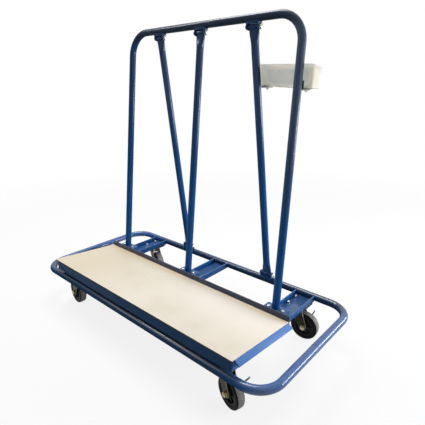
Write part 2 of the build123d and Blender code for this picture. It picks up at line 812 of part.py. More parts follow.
# Caster bolts from below, with nuts inside the channels
caster_grip = plate_thickness + channel_wall
with BuildPart() as caster_bolts:
    for x, y in caster_places:
        with BuildSketch(Plane(origin=(x, y, plate_bottom))):
            with GridLocations(plate_bolts_x, plate_bolts_y, 2, 2):
                RegularPolygon(hex_radius(bolt_head_af), 6)
        extrude(amount=-bolt_head_height)
        with BuildSketch(Plane(origin=(x, y, plate_bottom))):
            with GridLocations(plate_bolts_x, plate_bolts_y, 2, 2):
                Circle(bolt_d / 2)
        extrude(amount=caster_grip + bolt_nut_height + bolt_tail)
save(caster_bolts, "caster_bolts")

with BuildPart() as caster_nuts:
    for x, y in caster_places:
        with BuildSketch(Plane(origin=(x, y, web_top))):
            with GridLocations(plate_bolts_x, plate_bolts_y, 2, 2):
                RegularPolygon(hex_radius(bolt_head_af), 6)
                Circle(bolt_d / 2 + nut_clearance, mode=Mode.SUBTRACT)
        extrude(amount=bolt_nut_height)
save(caster_nuts, "caster_nuts")

# Swivelling halves of the casters
lever_face = fork_outer + cam_thickness + face_gap
for corner, (x_side, y_side, turn) in caster_corners.items():
    braked = corner in brake_levers
    head_face = lever_face + lever_thickness + face_gap if braked else fork_outer
    out = Vector(math.cos(math.radians(turn)), math.sin(math.radians(turn)), 0)
    across = Vector(-out.Y, out.X, 0)
    kingpin_foot_point = Vector(x_side * side_x, y_side * kingpin_y, 0)
    swivel_plane = Plane(origin=kingpin_foot_point, x_dir=out, z_dir=(0, 0, 1))
    side_plane = Plane(origin=kingpin_foot_point, x_dir=out, z_dir=-across)
    wheel_centre = kingpin_foot_point + out * trail + Vector(0, 0, wheel_r)
    wheel_plane = Plane(origin=wheel_centre, x_dir=across, z_dir=out)
    axle_axis = Axis(wheel_centre, across)

    # Fork: a crown with the lower race and two tapered legs
    with BuildPart() as fork:
        for leg in (-fork_outer, fork_inner):
            with BuildSketch(side_plane.offset(leg)):
                with Locations((trail, wheel_r)):
                    Circle(fork_end_r)
                with Locations(
                    (-fork_front, crown_top - fork_shoulder_r), (fork_rear, crown_top - fork_shoulder_r)
                ):
                    Circle(fork_shoulder_r)
                make_hull()
            extrude(amount=fork_wall)
        with BuildSketch(swivel_plane.offset(crown_bottom)):
            with Locations(((fork_rear - fork_front) / 2, 0)):
                Rectangle(fork_front + fork_rear, 2 * fork_outer)
            Circle(race_r)
        extrude(amount=crown_thickness)
        with BuildSketch(swivel_plane.offset(crown_top)):
            Circle(race_r)
            Circle(race_bore_r, mode=Mode.SUBTRACT)
        extrude(amount=race_height)
        with BuildSketch(swivel_plane.offset(crown_bottom)):
            Circle(kingpin_d / 2 + running_gap)
        extrude(amount=crown_thickness, mode=Mode.SUBTRACT)
        with BuildSketch(side_plane):
            with Locations((trail, wheel_r)):
                Circle(axle_d / 2 + nut_clearance)
        extrude(amount=fork_outer, both=True, mode=Mode.SUBTRACT)
    save(fork, f"{corner}_fork")

    # Axle bolt and its nut, with room under the head for a brake lever
    with BuildPart() as axle:
        with BuildSketch(side_plane.offset(-head_face)):
            with Locations((trail, wheel_r)):
                RegularPolygon(hex_radius(axle_head_af), 6)
        extrude(amount=-axle_head_height)
        with BuildSketch(side_plane.offset(-head_face)):
            with Locations((trail, wheel_r)):
                Circle(axle_d / 2)
        extrude(amount=head_face + fork_outer + axle_nut_height + axle_tail)
        with BuildSketch(side_plane.offset(fork_outer)):
            with Locations((trail, wheel_r)):
                RegularPolygon(hex_radius(axle_head_af), 6)
                Circle(axle_d / 2 + nut_clearance, mode=Mode.SUBTRACT)
        extrude(amount=axle_nut_height)
    save(axle, f"{corner}_axle")

    # Bush that runs on the axle, pressed into the core
    with BuildPart() as bush:
        with BuildSketch(wheel_plane):
            with Locations((0, axle_d / 2 + running_gap)):
                Rectangle(
                    2 * hub_half,
                    bush_r - axle_d / 2 - running_gap,
                    align=(Align.CENTER, Align.MIN),
                )
        revolve(axis=axle_axis)
    save(bush, f"{corner}_bush")

    # Core: hub, web and rim turned as one
    rim_r = wheel_r - tyre_depth
    with BuildPart() as core:
        with BuildSketch(wheel_plane):
            with Locations((0, bush_r + running_gap)):
                Rectangle(2 * hub_half, hub_r - bush_r, align=(Align.CENTER, Align.MIN))
            with Locations((0, hub_r)):
                Rectangle(web_width, rim_r - rim_depth - hub_r, align=(Align.CENTER, Align.MIN))
            with Locations((0, rim_r - rim_depth)):
                Rectangle(rim_width, rim_depth, align=(Align.CENTER, Align.MIN))
        revolve(axis=axle_axis)
    save(core, f"{corner}_core")

    # Solid rubber tyre with rounded shoulders
    with BuildPart() as tyre:
        with BuildSketch(wheel_plane) as tyre_section:
            with Locations((0, rim_r + running_gap)):
                Rectangle(wheel_width, tyre_depth - running_gap, align=(Align.CENTER, Align.MIN))
            outer_corners = tyre_section.vertices().group_by(Axis.Y)[-1]
            fillet(outer_corners, radius=tyre_shoulder)
        revolve(axis=axle_axis)
    save(tyre, f"{corner}_tyre")

    # Brake lever that turns on the axle against a cam ring on the fork leg
    if braked:
        with BuildPart() as brake_cam:
            with BuildSketch(side_plane.offset(-fork_outer)):
                with Locations((trail, wheel_r)):
                    Circle(cam_r)
                    Circle(axle_d / 2 + nut_clearance, mode=Mode.SUBTRACT)
            extrude(amount=-cam_thickness)
        save(brake_cam, f"{corner}_brake_cam")

        lever_angle, lever_reach = brake_levers[corner]
        lever_tip = (
            trail + lever_reach * math.cos(math.radians(lever_angle)),
            wheel_r + lever_reach * math.sin(math.radians(lever_angle)),
        )
        with BuildPart() as brake_lever:
            with BuildSketch(side_plane.offset(-lever_face)):
                with Locations((trail, wheel_r)):
                    Circle(lever_hub_r)
                with Locations(lever_tip):
                    Circle(lever_tip_r)
                make_hull()
                with Locations((trail, wheel_r)):
                    Circle(axle_d / 2 + running_gap, mode=Mode.SUBTRACT)
            extrude(amount=-lever_thickness)
        save(brake_lever, f"{corner}_brake_lever")
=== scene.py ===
import bpy
import json
import math
import numpy as np
from mathutils import Matrix, Vector


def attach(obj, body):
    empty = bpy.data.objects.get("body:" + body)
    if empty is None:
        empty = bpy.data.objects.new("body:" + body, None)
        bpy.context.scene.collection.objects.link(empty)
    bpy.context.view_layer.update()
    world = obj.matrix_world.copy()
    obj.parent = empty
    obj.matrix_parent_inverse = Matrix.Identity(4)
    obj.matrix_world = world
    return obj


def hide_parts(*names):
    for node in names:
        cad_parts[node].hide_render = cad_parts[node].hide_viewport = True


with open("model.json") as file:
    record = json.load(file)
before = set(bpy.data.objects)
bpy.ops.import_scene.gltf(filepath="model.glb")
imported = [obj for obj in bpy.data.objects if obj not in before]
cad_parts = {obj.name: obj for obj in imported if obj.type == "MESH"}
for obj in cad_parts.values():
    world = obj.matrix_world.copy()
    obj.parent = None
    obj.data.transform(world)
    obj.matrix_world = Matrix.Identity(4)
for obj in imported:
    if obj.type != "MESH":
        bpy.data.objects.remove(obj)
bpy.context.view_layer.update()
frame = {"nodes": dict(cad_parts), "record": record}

scene = bpy.context.scene
scene.view_settings.view_transform = "Standard"
millimetre = 0.001
xAxis, yAxis, zAxis = np.eye(3)
slotOf = {part["node"]: part["material_slot"] for part in frame["record"]["subparts"]}


# shapes: each is (points, face corners, face sizes, wear), in millimetres

def skin(grid, closed=False, rim=None):
    # points on a grid joined by four-sided faces; the rows close on themselves, or flat faces close the ends
    rows, cols = grid.shape[:2]
    i = np.arange(rows if closed else rows - 1)[:, None]
    j = np.arange(cols)[None, :]
    here, there, jNext = i * cols, (i + 1) % rows * cols, (j + 1) % cols
    corners = [np.stack([here + j, here + jNext, there + jNext, there + j], -1).reshape(-1)]
    sizes = [np.full(len(corners[0]) // 4, 4)]
    if not closed:
        corners += [np.arange(cols)[::-1], np.arange(cols) + (rows - 1) * cols]
        sizes.append([cols, cols])
    wear = np.zeros(rows * cols) if rim is None else np.repeat(np.asarray(rim, float), cols)
    return grid.reshape(-1, 3), np.concatenate(corners), np.concatenate(sizes), wear


def circle(steps):
    # equal steps of one whole turn
    return np.linspace(0, 2 * math.pi, steps, endpoint=False)


def quarter(steps):
    # equal steps of a quarter turn, both ends in
    return np.linspace(0, math.pi / 2, steps)


def ways(angle):
    # unit directions at the angles
    return np.stack([np.cos(angle), np.sin(angle)], 1)


def unit(vector):
    # the same direction at length 1
    return vector / np.linalg.norm(vector)


def cosSin(degrees):
    # cosine and sine of an angle
    return math.cos(math.radians(degrees)), math.sin(math.radians(degrees))


def placed(shape, origin, xDir, yDir, zDir):
    # origin plus each coordinate times its own direction
    return (np.asarray(origin, float) + shape[0] @ np.array([xDir, yDir, zDir], float),) + shape[1:]


def moved(shape, origin):
    # the shape carried to an origin without a turn
    return placed(shape, origin, xAxis, yAxis, zAxis)


def roundedCorners(corners, radii, steps=6):
    # each corner gives way to the arc that touches both its edges; a radius of 0 keeps the corner
    corners = np.asarray(corners, float)
    radii = np.broadcast_to(np.asarray(radii, float), len(corners))
    out = []
    for before, here, after, radius in zip(np.roll(corners, 1, 0), corners, np.roll(corners, -1, 0), radii):
        if radius <= 0:
            out.append(here[None])
            continue
        a, b = unit(before - here), unit(after - here)
        half = math.acos(np.clip(a @ b, -1, 1)) / 2
        centre = here + unit(a + b) * radius / math.sin(half)
        first = here + a * radius / math.tan(half) - centre
        last = here + b * radius / math.tan(half) - centre
        start = math.atan2(first[1], first[0])
        sweep = (math.atan2(last[1], last[0]) - start + math.pi) % (2 * math.pi) - math.pi
        angle = start + sweep * np.linspace(0, 1, steps + 1)
        out.append(centre + radius * ways(angle))
    return np.concatenate(out)


def rectangle(width, depth, radius=0, steps=6, centre=(0, 0)):
    # four corners, anticlockwise, rounded
    w, d = width / 2, depth / 2
    return roundedCorners(np.array([(-w, -d), (w, -d), (w, d), (-w, d)]) + centre, radius, steps)


def section(left, right, low, high, radii, steps):
    # a box between two places and two levels, rounded
    return roundedCorners([(left, low), (right, low), (right, high), (left, high)], radii, steps)


def hullOutline(circles, steps=96):
    # in each direction the outline is the point of the circle that reaches furthest that way
    circles = np.asarray(circles, float)
    angle = circle(steps)
    way = ways(angle)
    furthest = np.argmax(way @ circles[:, :2].T + circles[:, 2], 1)
    return circles[furthest, :2] + circles[furthest, 2:] * way


def outwards(outline):
    # mitred outward direction at each corner of an anticlockwise outline
    edge = np.roll(outline, -1, 0) - outline
    length = np.maximum(np.linalg.norm(edge, axis=1), 1e-9)[:, None]
    normal = np.stack([edge[:, 1], -edge[:, 0]], 1) / length
    earlier = np.roll(normal, 1, 0)
    return (normal + earlier) / np.maximum(1 + (normal * earlier).sum(1), 0.3)[:, None]


def stacked(outline, inset, level):
    # one outline at each level, drawn in by that level's inset
    flat = outline[None] - outwards(outline)[None] * inset[:, None, None]
    height = np.broadcast_to(level[:, None, None], flat.shape[:2] + (1,))
    return np.concatenate([flat, height], 2)


def prism(outline, low, high, bevel=0.8, steps=3):
    # an outline carried from low to high, its two rims turned in by a quarter circle
    turn = quarter(steps)
    inset = np.concatenate([bevel * (1 - np.sin(turn)), bevel * (1 - np.cos(turn))])
    height = np.concatenate([low + bevel * (1 - np.cos(turn)), high - bevel * (1 - np.sin(turn))])
    return skin(stacked(outline, inset, height), rim=np.clip(inset / bevel * 2, 0, 1))


def lathe(profile, steps=64, closed=True):
    # a (radius, height) profile turned about its axis
    profile = np.asarray(profile, float)
    angle = circle(steps)
    radius, level = profile[:, :1], profile[:, 1:]
    grid = np.stack(np.broadcast_arrays(radius * np.cos(angle), radius * np.sin(angle), level), -1)
    return skin(grid, closed)


def cylinder(radius, low, high, steps=24):
    # a circle carried from low to high, both ends closed
    return lathe([(radius, low), (radius, high)], steps, closed=False)


def tube(path, normal, radius, sides=32, closed=False):
    # a circle carried along a flat path; its plane turns with the path's own direction
    path = np.asarray(path, float)
    step = np.roll(path, -1, 0) - path
    step /= np.maximum(np.linalg.norm(step, axis=1), 1e-9)[:, None]
    if not closed:
        step[-1] = step[-2]
    tangent = step + np.roll(step, 1, 0)
    if not closed:
        tangent[0] = step[0]
    tangent /= np.linalg.norm(tangent, axis=1)[:, None]
    normal = unit(np.asarray(normal, float))
    side = np.cross(normal, tangent)
    angle = circle(sides)
    ring = np.cos(angle)[None, :, None] * side[:, None] + np.sin(angle)[None, :, None] * normal
    radius = np.broadcast_to(np.asarray(radius, float), len(path))
    grid = path[:, None] + radius[:, None, None] * ring
    return skin(grid, closed)


def weldRing(centre, xDir, yDir, radius, size=3.0, pitch=4.5):
    # a bead round a pipe: a thin ring whose thickness ripples along its length
    count = int(2 * math.pi * radius / pitch) * 4
    angle = circle(count)
    path = np.asarray(centre) + radius * ways(angle) @ np.array([xDir, yDir])
    ripple = size * (1 + 0.1 * np.cos(2 * math.pi * np.arange(count) / 4))
    return tube(path, np.cross(xDir, yDir), ripple, sides=10, closed=True)


def weldRun(start, end, normal, size=2.6, pitch=4.5):
    # a straight bead, rippled, thinning to a point at both ends
    start, end = np.asarray(start, float), np.asarray(end, float)
    count = max(int(np.linalg.norm(end - start) / pitch) * 4, 12)
    along = np.linspace(0, 1, count)
    taper = np.clip(np.minimum(along, 1 - along) * count / 6, 0.15, 1) ** 0.5
    ripple = size * taper * (1 + 0.12 * np.cos(2 * math.pi * np.arange(count) / 4))
    return tube(start + along[:, None] * (end - start), normal, ripple, sides=10)


def hexHead(acrossFlats, height, low=0.0, steps=72):
    # a hexagon whose corners are cut by a cone of 30 degrees, on a grid of angle and height
    underside, arris, crownShare, cone = 0.985, 0.4, 0.94, math.radians(30)
    angle = circle(steps)
    flat = acrossFlats / 2
    corner = flat / np.cos((angle + math.pi / 6) % (math.pi / 3) - math.pi / 6)
    crown = np.full(steps, flat * crownShare)
    drop = (corner - crown) * math.tan(cone)
    radius = np.stack([corner * underside, corner, corner, crown])
    even = np.ones(steps)
    level = np.stack([0 * even, arris * even, height - drop, height * even]) + low
    grid = np.stack([radius * np.cos(angle), radius * np.sin(angle), level], -1)
    return skin(grid)


def threadTail(radius, low, high, pitch=1.25, steps=24):
    # a threaded end: the radius saws in and out along the length, then a chamfer
    depth, chamfer = 0.45, 1.2
    count = max(int((high - low) / pitch * 2), 4)
    level = np.linspace(low, high, count)
    saw = radius - depth * (np.arange(count) % 2)
    saw[-1] = radius - chamfer
    return lathe(np.stack([saw, level], 1), steps, closed=False)


def washer(inner, outer, low, high, steps=40):
    # a flat ring with softened edges
    return lathe(section(inner, outer, low, high, (high - low) * 0.3, 2), steps)


def putPiece(name, shapes, finish, nodes, body="cart", sharp=38, extra=None):
    # shapes numbered on from each other into one mesh at the origin, in metres; it stands for its nodes
    first = np.cumsum([0] + [len(s[0]) for s in shapes])
    points = np.concatenate([s[0] for s in shapes]) * millimetre
    corners = np.concatenate([s[1] + start for s, start in zip(shapes, first)])
    sizes = np.concatenate([s[2] for s in shapes])
    mesh = bpy.data.meshes.new(name)
    mesh.vertices.add(len(points))
    mesh.vertices.foreach_set("co", points.ravel())
    mesh.loops.add(len(corners))
    mesh.polygons.add(len(sizes))
    mesh.polygons.foreach_set("loop_start", np.cumsum(sizes) - sizes)
    mesh.polygons.foreach_set("vertices", corners.astype(np.int32))
    mesh.polygons.foreach_set("use_smooth", np.ones(len(sizes), bool))
    mesh.update(calc_edges=True)
    mesh.validate()
    mesh.set_sharp_from_angle(angle=math.radians(sharp))
    layers = {"wear": np.concatenate([s[3] for s in shapes])}
    layers.update(extra or {})
    for layer, values in layers.items():
        data = mesh.attributes.new(layer, "FLOAT", "POINT").data
        data.foreach_set("value", np.asarray(values, np.float32))
    piece = bpy.data.objects.new(name, mesh)
    scene.collection.objects.link(piece)
    for one in finish if isinstance(finish, (list, tuple)) else [finish]:
        mesh.materials.append(one)
    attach(piece, body)
    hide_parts(*nodes)
    return piece


# finishes: nodes read Object coordinates, in metres, and the pieces' own attributes

class Nodes:
    def __init__(self, tree):
        self.nodes, self.links = tree.nodes, tree.links

    def add(self, kind, **values):
        # a new node with its own settings
        made = self.nodes.new(kind)
        for key, value in values.items():
            setattr(made, key, value)
        return made

    def set(self, node, **sockets):
        # socket values by name, an underscore for a space
        for key, value in sockets.items():
            node.inputs[key.replace("_", " ")].default_value = value

    def feed(self, node, socket, value):
        # a link from an output, or a plain value
        if hasattr(value, "is_output"):
            self.links.new(value, node.inputs[socket])
        else:
            node.inputs[socket].default_value = value

    def ramp(self, value, low, high, lowTo=0.0, highTo=1.0):
        # a smooth step from lowTo to highTo while the value goes from low to high
        made = self.add("ShaderNodeMapRange", interpolation_type="SMOOTHSTEP")
        self.set(made, From_Min=low, From_Max=high, To_Min=lowTo, To_Max=highTo)
        self.links.new(value, made.inputs["Value"])
        return made.outputs["Result"]

    def maths(self, kind, a, b):
        # one sum of two values
        made = self.add("ShaderNodeMath", operation=kind)
        self.feed(made, 0, a)
        self.feed(made, 1, b)
        return made.outputs[0]

    def times(self, a, b):
        # a times b
        return self.maths("MULTIPLY", a, b)

    def seenDirectly(self):
        # 1 for camera, glossy and transmission rays, 0 for the rays that light the object
        rays = self.add("ShaderNodeLightPath").outputs
        seen = self.maths("MAXIMUM", rays["Is Camera Ray"], rays["Is Glossy Ray"])
        return self.maths("MAXIMUM", seen, rays["Is Transmission Ray"])


class Finish(Nodes):
    def __init__(self, name, **sockets):
        self.material = bpy.data.materials.new(name)
        self.material.use_nodes = True
        super().__init__(self.material.node_tree)
        self.shader = self.nodes["Principled BSDF"]
        self.where = self.add("ShaderNodeTexCoord").outputs["Object"]
        self.set(self.shader, **sockets)

    def noise(self, scale, detail=3.0, rough=0.55, stretch=None):
        # cloudy noise at a scale; stretch multiplies the place along each axis first
        made = self.add("ShaderNodeTexNoise")
        self.set(made, Scale=scale, Detail=detail, Roughness=rough)
        where = self.where
        if stretch:
            mapping = self.add("ShaderNodeMapping")
            mapping.inputs["Scale"].default_value = stretch
            self.links.new(where, mapping.inputs["Vector"])
            where = mapping.outputs["Vector"]
        self.links.new(where, made.inputs["Vector"])
        return made.outputs["Fac"]

    def mottle(self, scale, detail, low=0.0, high=1.0):
        # noise with its middle range spread from low to high
        return self.ramp(self.noise(scale, detail), 0.3, 0.7, low, high)

    def mix(self, factor, a, b):
        # colour a where the factor is 0, b where it is 1
        made = self.add("ShaderNodeMix", data_type="RGBA")
        self.feed(made, 0, factor)
        self.feed(made, 6, a)
        self.feed(made, 7, b)
        return made.outputs[2]

    def attribute(self, name):
        # the piece's own value at each point
        return self.add("ShaderNodeAttribute", attribute_name=name).outputs["Fac"]

    def along(self, vector, axis):
        # one coordinate of a vector
        split = self.add("ShaderNodeSeparateXYZ")
        self.links.new(vector, split.inputs[0])
        return split.outputs[axis]

    def facing(self, axis):
        # how far the surface faces along an axis
        return self.along(self.add("ShaderNodeNewGeometry").outputs["Normal"], axis)

    def placeOf(self, axis):
        # place along an axis, in metres
        return self.along(self.where, axis)

    def bump(self, height, strength, distance=0.0003):
        # a normal tilted by the slope of a height
        made = self.add("ShaderNodeBump")
        self.set(made, Strength=strength, Distance=distance)
        self.links.new(height, made.inputs["Height"])
        return made.outputs["Normal"]

    def done(self, colour=None, roughness=None, normal=None):
        # what is given goes into the shader
        for socket, value in (("Base Color", colour), ("Roughness", roughness), ("Normal", normal)):
            if value is not None:
                self.links.new(value, self.shader.inputs[socket])
        return self.material


def rgb(r, g, b):
    # an opaque colour
    return (r, g, b, 1.0)


# fade: the heights between which low turns to high, the darker high shade being painted shade on the upper
# parts; gloss and roughness: least and most
# dust: a paler colour for tops, part dust and part painted sheen of the bright sky
bluePaint = {"low": rgb(0.014, 0.092, 0.290), "high": rgb(0.012, 0.056, 0.165), "fade": (0.45, 1.3),
             "dust": rgb(0.30, 0.34, 0.42), "rubbed": rgb(0.045, 0.145, 0.37), "chip": rgb(0.20, 0.21, 0.23),
             "gloss": (0.05, 0.34), "roughness": (0.12, 0.18), "bump": 0.05}
lipPaint = dict(bluePaint, low=rgb(0.037, 0.093, 0.203), high=rgb(0.037, 0.093, 0.203), fade=(0.1, 1.0),
                dust=rgb(0.20, 0.23, 0.30), rubbed=rgb(0.030, 0.090, 0.21), gloss=(0.02, 0.12),
                roughness=(0.35, 0.45))
# painted light: the end wings' lighter blue stands in for the strong light from the right that falls on them
wingPaint = dict(bluePaint, low=rgb(0.072, 0.200, 0.520), roughness=(0.2, 0.28))
# painted reflection: the rear stop's grey-blue stands in for its reflection of the cream deck
stopPaint = dict(bluePaint, low=rgb(0.080, 0.095, 0.140), dust=rgb(0.28, 0.28, 0.31),
                 rubbed=rgb(0.12, 0.13, 0.17))
# patches: colour, share, and the spans of place over which the patch comes in
# loopPaint: a brighter low blue, partly a painted broad sheen beside the highlight stripes
loopPaint = dict(bluePaint, low=rgb(0.036, 0.120, 0.350), gloss=(0.0, 0.55), roughness=(0.07, 0.12),
                 bump=0.01, outward=(0.0, 0.55), patches=[
                     # painted shade: the front pipe darker, as it faces away from the light
                     (rgb(0.032, 0.078, 0.175), 1.0, (("Y", -0.24, -0.31), ("X", 0.72, 0.50))),
                     # darker navy along the rear pipe
                     (rgb(0.022, 0.056, 0.125), 1.0, (("Y", 0.22, 0.31), ("X", -0.66, -0.40))),
                     # painted highlight: a pale grey streak along the front pipe's upper front face
                     (rgb(0.50, 0.48, 0.50), 0.6, (("Y", -0.24, -0.31), ("X", 0.62, 0.42), ("X", -0.30, 0.02),
                                                   ("up", 0.58, 0.76), ("up", 0.98, 0.86)))])
hoopPaint = dict(bluePaint, bump=0.01, gloss=(0.03, 0.22), patches=[
    # painted sheen: the right upright paler and greyer between these heights
    (rgb(0.080, 0.122, 0.205), 1.0, (("X", 0.40, 0.50), ("Z", 0.45, 1.15))),
    # painted shade: the top bar darker and greyer
    (rgb(0.026, 0.046, 0.086), 1.0, (("Z", 1.34, 1.40),))])


def makeBluePaint(name, look):
    # two shades mixed by height, the upper one darker as painted shade; patches mixed in by place, some of
    # them painted shade and painted highlights; dust on tops, partly a painted sky sheen; edges rubbed paler;
    # gloss rises on tops and with height, or outwards along X, and goes where a surface is seen edge on
    f = Finish(name)
    height, upFacing = f.placeOf("Z"), f.facing("Z")
    # painted shade: the paint turns darker and greyer with height
    colour = f.mix(f.ramp(height, *look["fade"]), look["low"], look["high"])
    for patch, share, spans in look.get("patches", ()):
        for axis, start, full in spans:
            span = f.ramp(upFacing if axis == "up" else f.placeOf(axis), start, full)
            share = f.times(span, share)
        colour = f.mix(share, colour, patch)
    # tops paler: part dust, part painted sheen of the bright sky
    dustAndSkySheen = f.times(f.ramp(upFacing, 0.7, 0.98), f.ramp(f.noise(14.0, 5), 0.3, 0.75, 0.08, 0.22))
    colour = f.mix(dustAndSkySheen, colour, look["dust"])
    rubbed = f.times(f.attribute("wear"), f.ramp(f.noise(60.0, 4), 0.35, 0.7, 0.1, 0.6))
    colour = f.mix(rubbed, colour, look["rubbed"])
    scuff = f.ramp(f.noise(70.0, 6, 0.7, (0.5, 2.2, 1.4)), 0.75, 0.77)
    colour = f.mix(f.times(scuff, 0.5), colour, look["chip"])
    if "outward" in look:
        shine = f.maths("MAXIMUM", f.ramp(upFacing, 0.5, 0.9), f.ramp(f.facing("X"), *look["outward"]))
    else:
        shine = f.times(f.ramp(height, 0.6, 1.3), f.ramp(upFacing, -0.6, 0.2))
        shine = f.maths("MAXIMUM", f.ramp(upFacing, 0.1, 0.6), shine)
    edgeOn = f.ramp(f.add("ShaderNodeLayerWeight").outputs["Facing"], 0.55, 0.85, 1.0, 0.0)
    shine = f.times(f.ramp(shine, 0.0, 1.0, *look["gloss"]), edgeOn)
    f.links.new(shine, f.shader.inputs["Specular IOR Level"])
    rough = f.mottle(20.0, 3, *look["roughness"])
    return f.done(colour, rough, f.bump(f.noise(300.0, 2), look["bump"]))


def makePlain(name, low, high, roughness, grainScale, bumpStrength, **sockets):
    # two near shades mottled by noise, with a fine grain in the roughness and the surface
    f = Finish(name, **sockets)
    grain = f.noise(grainScale, 4, 0.6)
    colour = f.mix(f.mottle(grainScale / 9, 4), low, high)
    colour = f.mix(f.times(f.ramp(grain, 0.35, 0.7), 0.35), colour, high)
    return f.done(colour, f.ramp(grain, 0.3, 0.7, *roughness), f.bump(grain, bumpStrength))


laminateLook = {"cream": rgb(0.83, 0.755, 0.63), "pale": rgb(0.88, 0.81, 0.69), "shadeReflectTan": rgb(0.95, 0.66, 0.29),
                "leftTone": rgb(0.75, 0.655, 0.49), "sheen": rgb(0.95, 0.88, 0.775),
                "scratch": rgb(0.60, 0.53, 0.43), "backEdge": 0.0235, "bandWidth": 0.05, "bandGap": 0.006}


def makeLaminate():
    # two creams mottled by noise, darker and browner towards the left, a painted sheen paler at the right,
    # with specks, streaks and a painted band of shade and warm reflection along the back
    f = Finish("creamLaminate", Specular_IOR_Level=0.25)
    colour = f.mix(f.ramp(f.noise(6.0, 5), 0.35, 0.65), laminateLook["cream"], laminateLook["pale"])
    # darker and browner towards the left
    colour = f.mix(f.ramp(f.placeOf("X"), 0.05, -0.50, 0, 0.85), colour, laminateLook["leftTone"])
    # painted sheen: paler towards the right, away from the front edge
    sheen = f.times(f.ramp(f.placeOf("X"), -0.1, 0.3), f.ramp(f.placeOf("Y"), -0.28, -0.10))
    colour = f.mix(sheen, colour, laminateLook["sheen"])
    speck = f.ramp(f.noise(900.0, 2, 0.5), 0.6, 0.72, 0, 0.10)
    colour = f.mix(speck, colour, laminateLook["scratch"])
    backEdge = laminateLook["backEdge"]
    # painted shade with a warm reflection: a tan band on the deck along the rear stop
    band = f.ramp(f.placeOf("Y"), backEdge - laminateLook["bandWidth"], backEdge - laminateLook["bandGap"])
    band = f.times(band, f.ramp(f.noise(7.0, 4, 0.6, (1, 3, 1)), 0.25, 0.75, 0.18, 0.55))
    colour = f.mix(band, colour, laminateLook["shadeReflectTan"])
    streak = f.ramp(f.noise(70.0, 3, 0.6, (0.08, 1.6, 1)), 0.64, 0.72, 0, 0.16)
    colour = f.mix(streak, colour, laminateLook["scratch"])
    rough = f.mottle(14.0, 5, 0.42, 0.48)
    return f.done(colour, rough, f.bump(f.noise(650.0, 2), 0.04))


darkPlate = {"low": rgb(0.020, 0.016, 0.012), "high": rgb(0.050, 0.041, 0.030),
             "edge": rgb(0.62, 0.56, 0.42)}


def makeDarkPlate():
    # two dark shades mottled by noise, edges rubbed to bare plate
    f = Finish("darkPlate", Metallic=0.1, Specular_IOR_Level=0.15)
    colour = f.mix(f.mottle(45.0, 5), darkPlate["low"], darkPlate["high"])
    rubbed = f.times(f.attribute("wear"), f.ramp(f.noise(120.0, 4), 0.35, 0.6, 0.35, 1.0))
    colour = f.mix(rubbed, colour, darkPlate["edge"])
    grain = f.noise(260.0, 4, 0.6)
    return f.done(colour, f.ramp(grain, 0.3, 0.7, 0.3, 0.48), f.bump(grain, 0.12))


def makeTubPlastic():
    # part clear, part milky; the panel is bluer, and a painted highlight makes a band at the right end
    # yellower and brighter
    f = Finish("milkyPlastic", Roughness=0.3, Specular_IOR_Level=0.3, IOR=1.2, Subsurface_Weight=0.2,
               Subsurface_Scale=0.02, Transmission_Weight=0.58)
    f.shader.inputs["Subsurface Radius"].default_value = (1.0, 0.9, 0.75)
    colour = f.mix(f.mottle(18.0, 4), rgb(0.96, 0.94, 0.87), rgb(0.98, 0.965, 0.91))
    colour = f.mix(f.attribute("panel"), colour, rgb(0.72, 0.77, 0.82))
    # painted highlight: the band on the right end wall
    colour = f.mix(f.attribute("band"), colour, rgb(1.0, 0.98, 0.82))
    return f.done(colour, None, f.bump(f.noise(260.0, 2), 0.08, 0.0004))


def makeRubber():
    # black, with grey dust by noise where the tread attribute is 1
    f = Finish("blackRubber", Specular_IOR_Level=0.10)
    tread = f.attribute("tread")
    colour = f.mix(f.mottle(30.0, 5), rgb(0.006, 0.006, 0.007), rgb(0.012, 0.012, 0.013))
    dust = f.times(tread, f.ramp(f.noise(90.0, 6, 0.7), 0.3, 0.62, 0.42, 0.95))
    colour = f.mix(dust, colour, rgb(0.34, 0.33, 0.32))
    rough = f.mottle(120.0, 3, 0.5, 0.68)
    return f.done(colour, rough, f.bump(f.noise(420.0, 4), 0.2, 0.0005))


def makeBoardEdge():
    # two browns in thin layers: noise pressed flat along Z
    f = Finish("boardEdge", Specular_IOR_Level=0.25)
    layers = f.noise(40.0, 3, 0.5, (1.0, 6.0, 60.0))
    colour = f.mix(f.ramp(layers, 0.35, 0.65), rgb(0.018, 0.016, 0.014), rgb(0.060, 0.048, 0.036))
    return f.done(colour, f.ramp(layers, 0.3, 0.7, 0.55, 0.75), f.bump(layers, 0.3, 0.0006))


paint = makeBluePaint("glossBlue", bluePaint)
dullPaint = makeBluePaint("dullBlue", lipPaint)
litWingPaint = makeBluePaint("litWingBlue", wingPaint)
stopReflectionPaint = makeBluePaint("stopReflectionBlue", stopPaint)
loopBlue = makeBluePaint("loopBlue", loopPaint)
hoopBlue = makeBluePaint("hoopBlue", hoopPaint)
laminate = makeLaminate()
boardEdge = makeBoardEdge()
tubPlastic = makeTubPlastic()
rubber = makeRubber()
brightZinc = makePlain("brightZinc", rgb(0.62, 0.62, 0.60), rgb(0.78, 0.77, 0.74), (0.24, 0.42), 400, 0.10,
                       Metallic=1.0)
brassyZinc = makePlain("brassyZinc", rgb(0.42, 0.36, 0.23), rgb(0.55, 0.47, 0.30), (0.36, 0.52), 400, 0.12,
                       Metallic=1.0)
dullZinc = makePlain("dullZinc", rgb(0.40, 0.39, 0.37), rgb(0.52, 0.51, 0.48), (0.38, 0.55), 400, 0.12,
                     Metallic=0.4)
darkZinc = makePlain("blackOxide", rgb(0.020, 0.020, 0.022), rgb(0.045, 0.044, 0.046), (0.35, 0.55), 400, 0.1,
                     Metallic=0.6)
casterZinc = makeDarkPlate()
